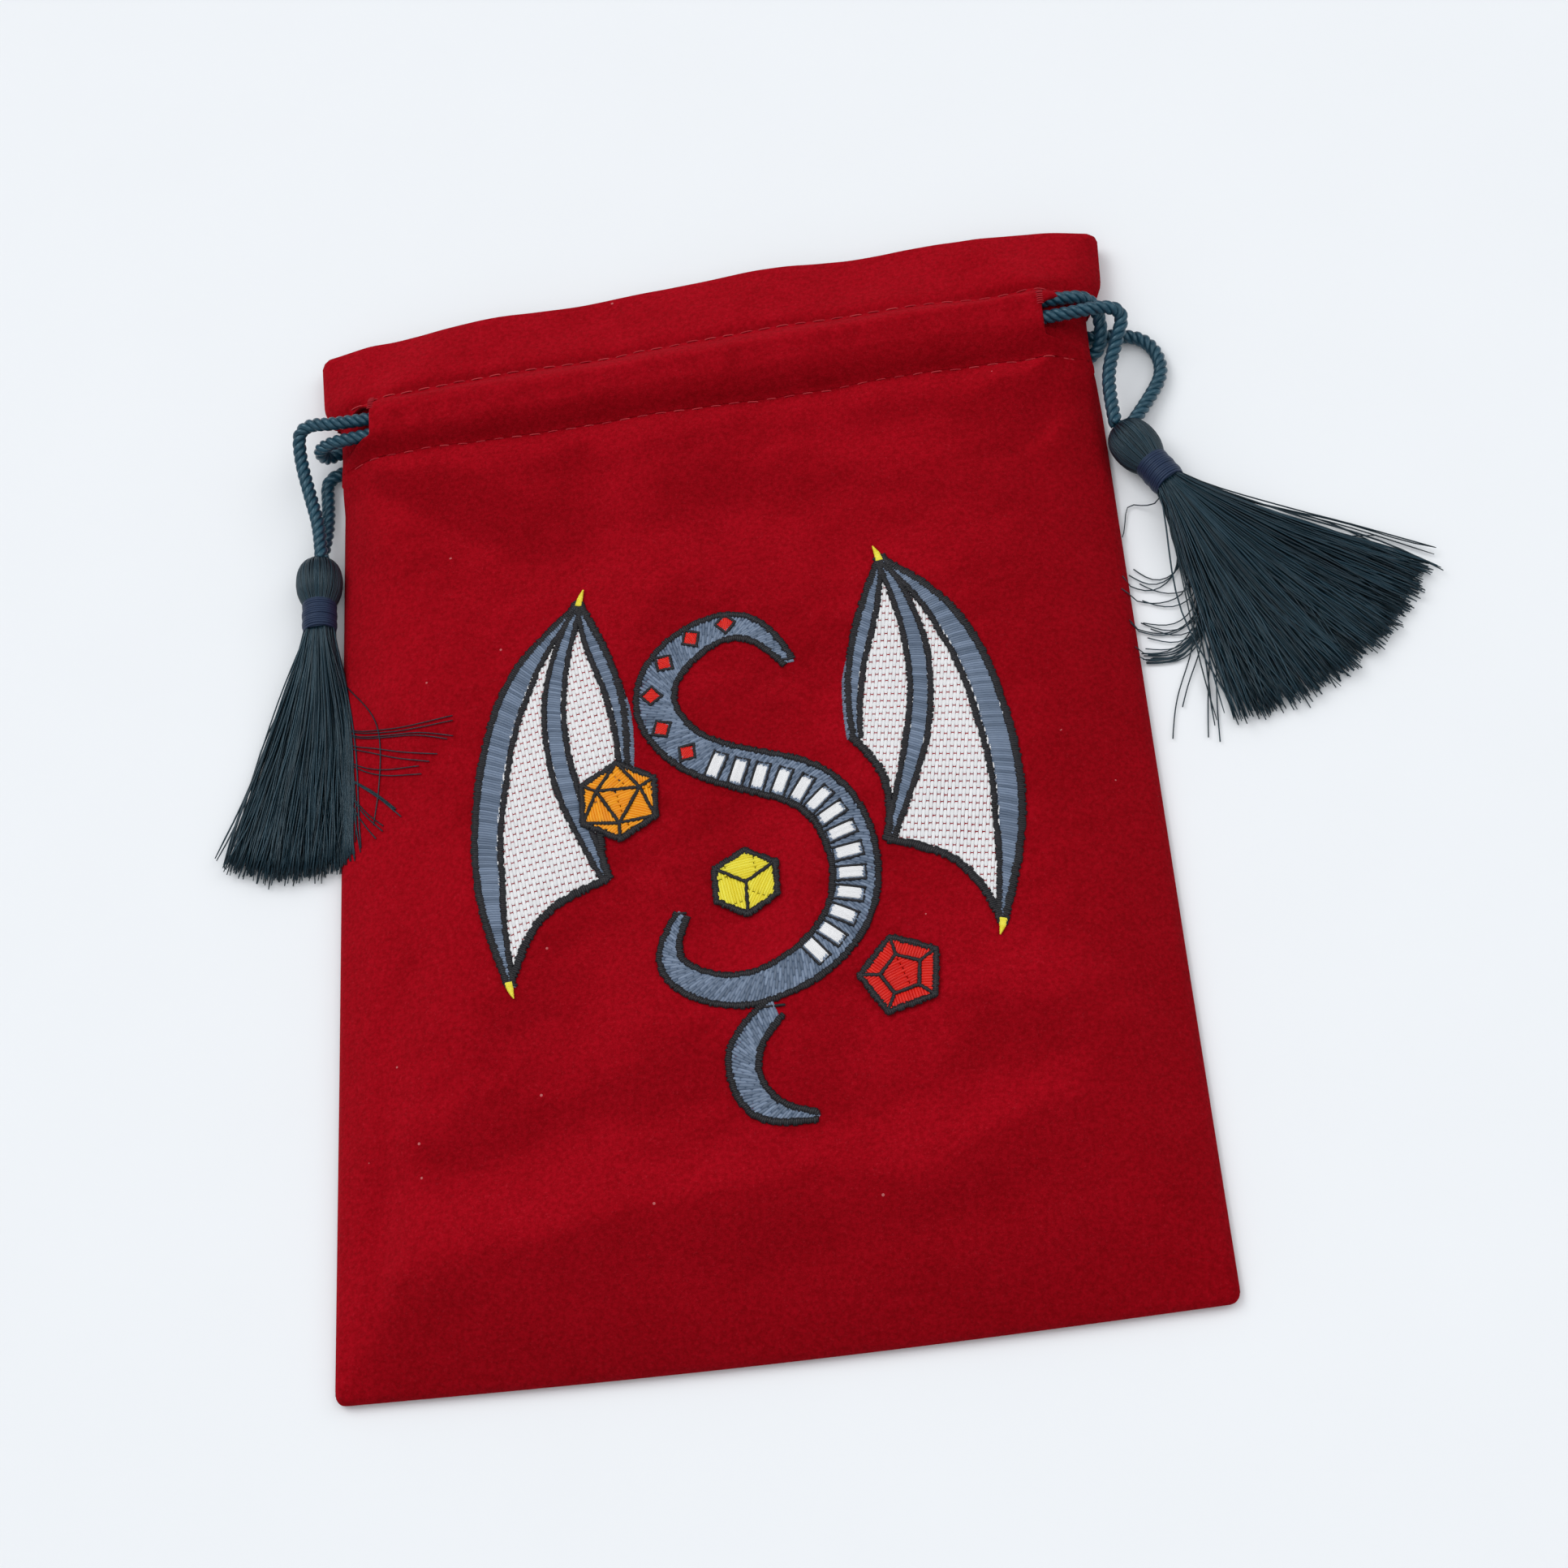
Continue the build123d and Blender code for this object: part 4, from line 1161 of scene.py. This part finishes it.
def wings(thread):
    for side, sign in SIDES:
        stitches = Stitches(60 + sign)
        outline = np.concatenate([curve(mirrored(edge, sign), 0.5)[:-1] for edge in WING_EDGES])
        stitches.fill(outline, 90 - sign * 8, 0.02, 0.53, 2.3, 0.26, 0.53, gap=0.08)
        stitches.piece(f"stitched_wing_{side}", f"embroidery_wing_{side}", thread, "white_thread")


def spars(thread):
    stitches = Stitches(62)
    for _, sign in SIDES:
        leading = offset_curve(mirrored(LEADING_EDGE, sign), [0.6, 3.8, 4.2, 3.8, 0.8], -sign)
        stitches.satin(leading, [1.0, 3.5, 3.9, 3.5, 1.2], 0.08, height=0.42)
        stitches.satin(mirrored(MIDDLE_SPAR, sign), [1.2, 2.7, 2.8, 1.1], 0.08, height=0.4)
        stitches.satin(mirrored(INNER_SPAR, sign), [2.0, 2.9, 2.3, 1.0], 0.08, height=0.38)
    stitches.piece("stitched_spars", "embroidery_spars", thread, "blue_grey_thread")


def scroll(thread):
    stitches = Stitches(63)
    stitches.band(SCROLL, SCROLL_WIDTHS, 0.04)
    stitches.band(TAIL, TAIL_WIDTHS, 0.04)
    stitches.piece("stitched_scroll", "embroidery_scroll", thread, "blue_grey_thread")


def rungs(thread):
    stitches = Stitches(64)
    for middle, side, way in rung_places():
        for k in np.arange(-0.8, 0.81, 0.27):
            place = middle + way * k
            stitches.add(place - side * RUNG_HALF, place + side * RUNG_HALF, 0.14, 0.4, 0.32)
    stitches.piece("stitched_rungs", "embroidery_rungs", thread, "white_thread")


def trim(thread):
    stitches = Stitches(65)
    for middle, side, way in diamond_places():
        for k in np.arange(-1.2, 1.21, 0.3):
            reach = 1.5 - 1.0 * abs(k)
            stitches.add(middle + way * k - side * reach, middle + way * k + side * reach, 0.14, 0.4, 0.3)
    stitches.piece("stitched_trim", "embroidery_trim", thread, "red_thread")


def wing_outlines(stitches):
    for _, sign in SIDES:
        for edge in WING_EDGES:
            stitches.edge(mirrored(edge, sign), 1.25, 0.22, height=0.36, jitter=0.17)
        for spar, widths, side in (
            (MIDDLE_SPAR, [1.2, 3.1, 3.2, 1.2], 1), (MIDDLE_SPAR, [1.2, 3.1, 3.2, 1.2], -1),
            (LEADING_EDGE, [1.0, 8.0, 8.8, 8.0, 1.4], -sign), (INNER_SPAR, [2.3, 3.4, 2.8, 1.0], -sign),
        ):
            stitches.edge(offset_curve(mirrored(spar, sign), widths, side), 0.95, 0.24)


def scroll_outlines(stitches):
    for line, widths in ((SCROLL, SCROLL_WIDTHS), (TAIL, TAIL_WIDTHS)):
        for sign in (-1, 1):
            stitches.edge(offset_curve(line, widths, sign), 1.05, 0.2, height=0.36)
        for end in (0, -1):
            half, middle = np.array((widths[end] / 2, 0)), np.array(line[end]) + (0, 0.3)
            stitches.line([middle - half, middle + half], 0.2)
    for middle, side, way in rung_places():
        for k in (-1.12, 1.12):
            place = middle + way * k
            stitches.edge([place - side * 2.2, place + side * 2.2], 0.4, 0.22, 0.3, 0.3, 0.04)
        for turn in (-1, 1):
            ends = [middle + side * turn * 2.2 - way * 1.1, middle + side * turn * 2.3 + way * 1.1]
            stitches.line(ends, 0.2, 1.1, 0.3, 0.2)


def outlines(thread):
    stitches = Stitches(66)
    wing_outlines(stitches)
    scroll_outlines(stitches)
    for name in DICE:
        for face, _ in facets(name):
            for a, b in around(face):
                stitches.edge([a, b], 0.5, 0.66, 0.3, 0.26, 0.08)
        for a, b in around(polygon(name)):
            stitches.edge([a, b], 1.05, 0.55, height=0.36)
    for middle, side, way in diamond_places():
        diamond = [middle + way * 1.5, middle + side * 1.7, middle - way * 1.5, middle - side * 1.7]
        for a, b in around(diamond):
            stitches.edge([a, b], 0.45, 0.24, 0.28, 0.28, 0.05)
    stitches.piece("stitched_outline", "embroidery_outline", thread, "black_thread")


def tips(thread):
    stitches = Stitches(67)
    for _, sign in SIDES:
        for corner, (u, v) in ((WING_TIP, (-0.8, 1.9)), (WING_FOOT, (-0.6, -1.7))):
            (x, y), = mirrored([corner], sign)
            line = [(x, y - 0.3 * v), (x + 0.5 * sign * u, y + 0.5 * v), (x + sign * u, y + v)]
            stitches.satin(line, [1.3, 0.9, 0.25], 0.4, 0.26, 0.1, 0.3, 0.02)
    stitches.piece("stitched_tips", "embroidery_tips", thread, "yellow_thread")


def dice(threads):
    for name in DICE:
        stitches = Stitches(70)
        for face, angle in facets(name):
            stitches.fill(face, angle, 0.45, 0.42, 9.0, 0.32, 0.46)
        stitches.piece(f"stitched_die_{name}", f"embroidery_die_{name}", threads[name], f"{name}_thread")


def stabiliser():
    """The backing sheet under the embroidery, behind the front cloth."""
    shader = Shader("stabiliser")
    fibres = shader.noise(shader.coordinates(), 1500, 4, 0.7)
    colour = shader.ramp(fibres, [(0.3, (0.62, 0.62, 0.6)), (0.7, (0.78, 0.78, 0.76))])
    shader.set(Base_Color=colour, Roughness=0.95)
    low, high = box_mm("embroidery_backing")
    x, y = np.meshgrid(np.linspace(low[0], high[0], 60), np.linspace(low[1], high[1], 60))
    grid = np.stack([x, y, front_height(x, y) - 0.8], axis=-1)
    backing = grid_piece("stabiliser_sheet", grid, shader.material)
    ride(backing, "pouch", "embroidery_backing")


def embroidery():
    """The threads' materials, and each stitched piece in its own colour."""
    blue = thread_material("blue_grey_thread", (0.094, 0.136, 0.206), (0.230, 0.300, 0.420), 0.36, 0.5)
    white = thread_material("white_thread", (0.82, 0.82, 0.83), (0.90, 0.90, 0.91), 0.42, 0.4, 0.82)
    black = thread_material("black_thread", (0.003, 0.003, 0.005), (0.012, 0.011, 0.016), 0.4, 0.4)
    colours = {
        "orange": thread_material("orange_thread", (0.88, 0.30, 0.004), (0.98, 0.42, 0.01), 0.4, 0.35, 0.7),
        "yellow": thread_material("yellow_thread", (0.84, 0.70, 0.03), (0.94, 0.86, 0.08), 0.4, 0.35, 0.7),
        "red": thread_material("red_thread", (0.66, 0.008, 0.004), (0.80, 0.02, 0.008), 0.4, 0.3, 0.7),
    }
    wings(white)
    spars(blue)
    scroll(blue)
    rungs(white)
    trim(colours["red"])
    outlines(black)
    tips(colours["yellow"])
    dice(colours)
    stabiliser()


# --- sewing thread ------------------------------------------------------------------------------------
STITCH_LENGTH, STITCH_PITCH, STITCH_R, ROW_REACH = 2.1, 3.0, 0.11, 61.2
ROWS = (                        # name, y, and how far each row lies over which face of the cloth
    ("front_lower_stitches", ROW_LOW - 0.5, front_height, 0.05),
    ("front_upper_stitches", ROW_HIGH + 0.6, front_height, 0.3),
    ("back_lower_stitches", ROW_LOW - 0.8, back_height, 1.4),
    ("back_upper_stitches", ROW_HIGH + 0.8, back_height, 1.4),
)


def seam_row(sign, y, height, over, draw):
    """Machine stitches from the middle of the bag to one side."""
    tubes = Tubes()
    x = STITCH_PITCH / 2
    t = np.linspace(-0.5, 0.5, 7)
    while x < ROW_REACH:
        xs = sign * (x + t * STITCH_LENGTH * draw.uniform(0.92, 1.05))
        ys = y + draw.uniform(-0.08, 0.08) + t * draw.uniform(-0.12, 0.12)
        zs = height(xs, ys) + over - 0.28 * (np.abs(t) * 2) ** 4 + 0.05
        line = np.stack([xs, ys + settle(xs, ys), zs], axis=1)
        tubes.add(line, STITCH_R, 6, tone=draw.uniform(0, 1), flat=0.8)
        x += STITCH_PITCH
    return tubes


def seam_rows():
    thread = thread_material("sewing_thread", (0.40, 0.012, 0.024), (0.56, 0.05, 0.06), 0.6, 0.12)
    draw = np.random.default_rng(80)
    for name, y, height, over in ROWS:
        for side, sign in SIDES:
            piece = seam_row(sign, y, height, over, draw).piece(f"{name}_{side}", thread)
            gather(piece, [name])
    for side, sign in SIDES:
        tubes = Tubes()
        for y in np.arange(72.7, 75.3, 0.42):
            xs = sign * (SLIT - 0.2) + np.array([-0.5, -0.3, 0, 0.3, 0.5])
            ys = np.full(5, y) + draw.uniform(-0.05, 0.05)
            zs = casing_height(xs, ys) + np.array([-0.1, 0.08, 0.12, 0.08, -0.1])
            tubes.add(np.stack([xs, ys, zs], axis=1), STITCH_R, 6, tone=draw.uniform(0, 0.4))
        tack = tubes.piece(f"bar_tack_{side}", thread)
        ride(tack, f"mouth_{side}", f"slit_tack_{side}")


def mouth_sides(velvet):
    """The sewn sides of the mouth: cloth that turns from the back layer up to the front one."""
    ys = np.linspace(ROW_LOW + 0.8, TOP - 1.2, 30)
    shares = np.linspace(0, 1, 9)[None, :]
    x = half_width(ys)[:, None] - 1.5 + 0.3 * np.sin(shares * math.pi)
    z = edge_height(ys)[:, None] - 1.2 + 1.0 * shares
    for side, sign in SIDES:
        grid = np.stack([sign * x, np.repeat(ys[:, None], shares.size, axis=1), z], axis=-1)
        piece = grid_piece(f"mouth_side_{side}", grid, velvet, sign < 0)
        thicken(piece, 0.5, 0.0)
        ride(piece, f"mouth_{side}", f"mouth_seam_{side}")


# --- the model ----------------------------------------------------------------------------------------
def build():
    """The whole bag, in the order in which it is sewn."""
    velvet = velvet_material()
    body_panels(velvet)
    mouth_cloth(velvet)
    casings(velvet)
    mouth_sides(velvet)
    seam_rows()
    embroidery()
    tassels_and_cords()


stage()
build()
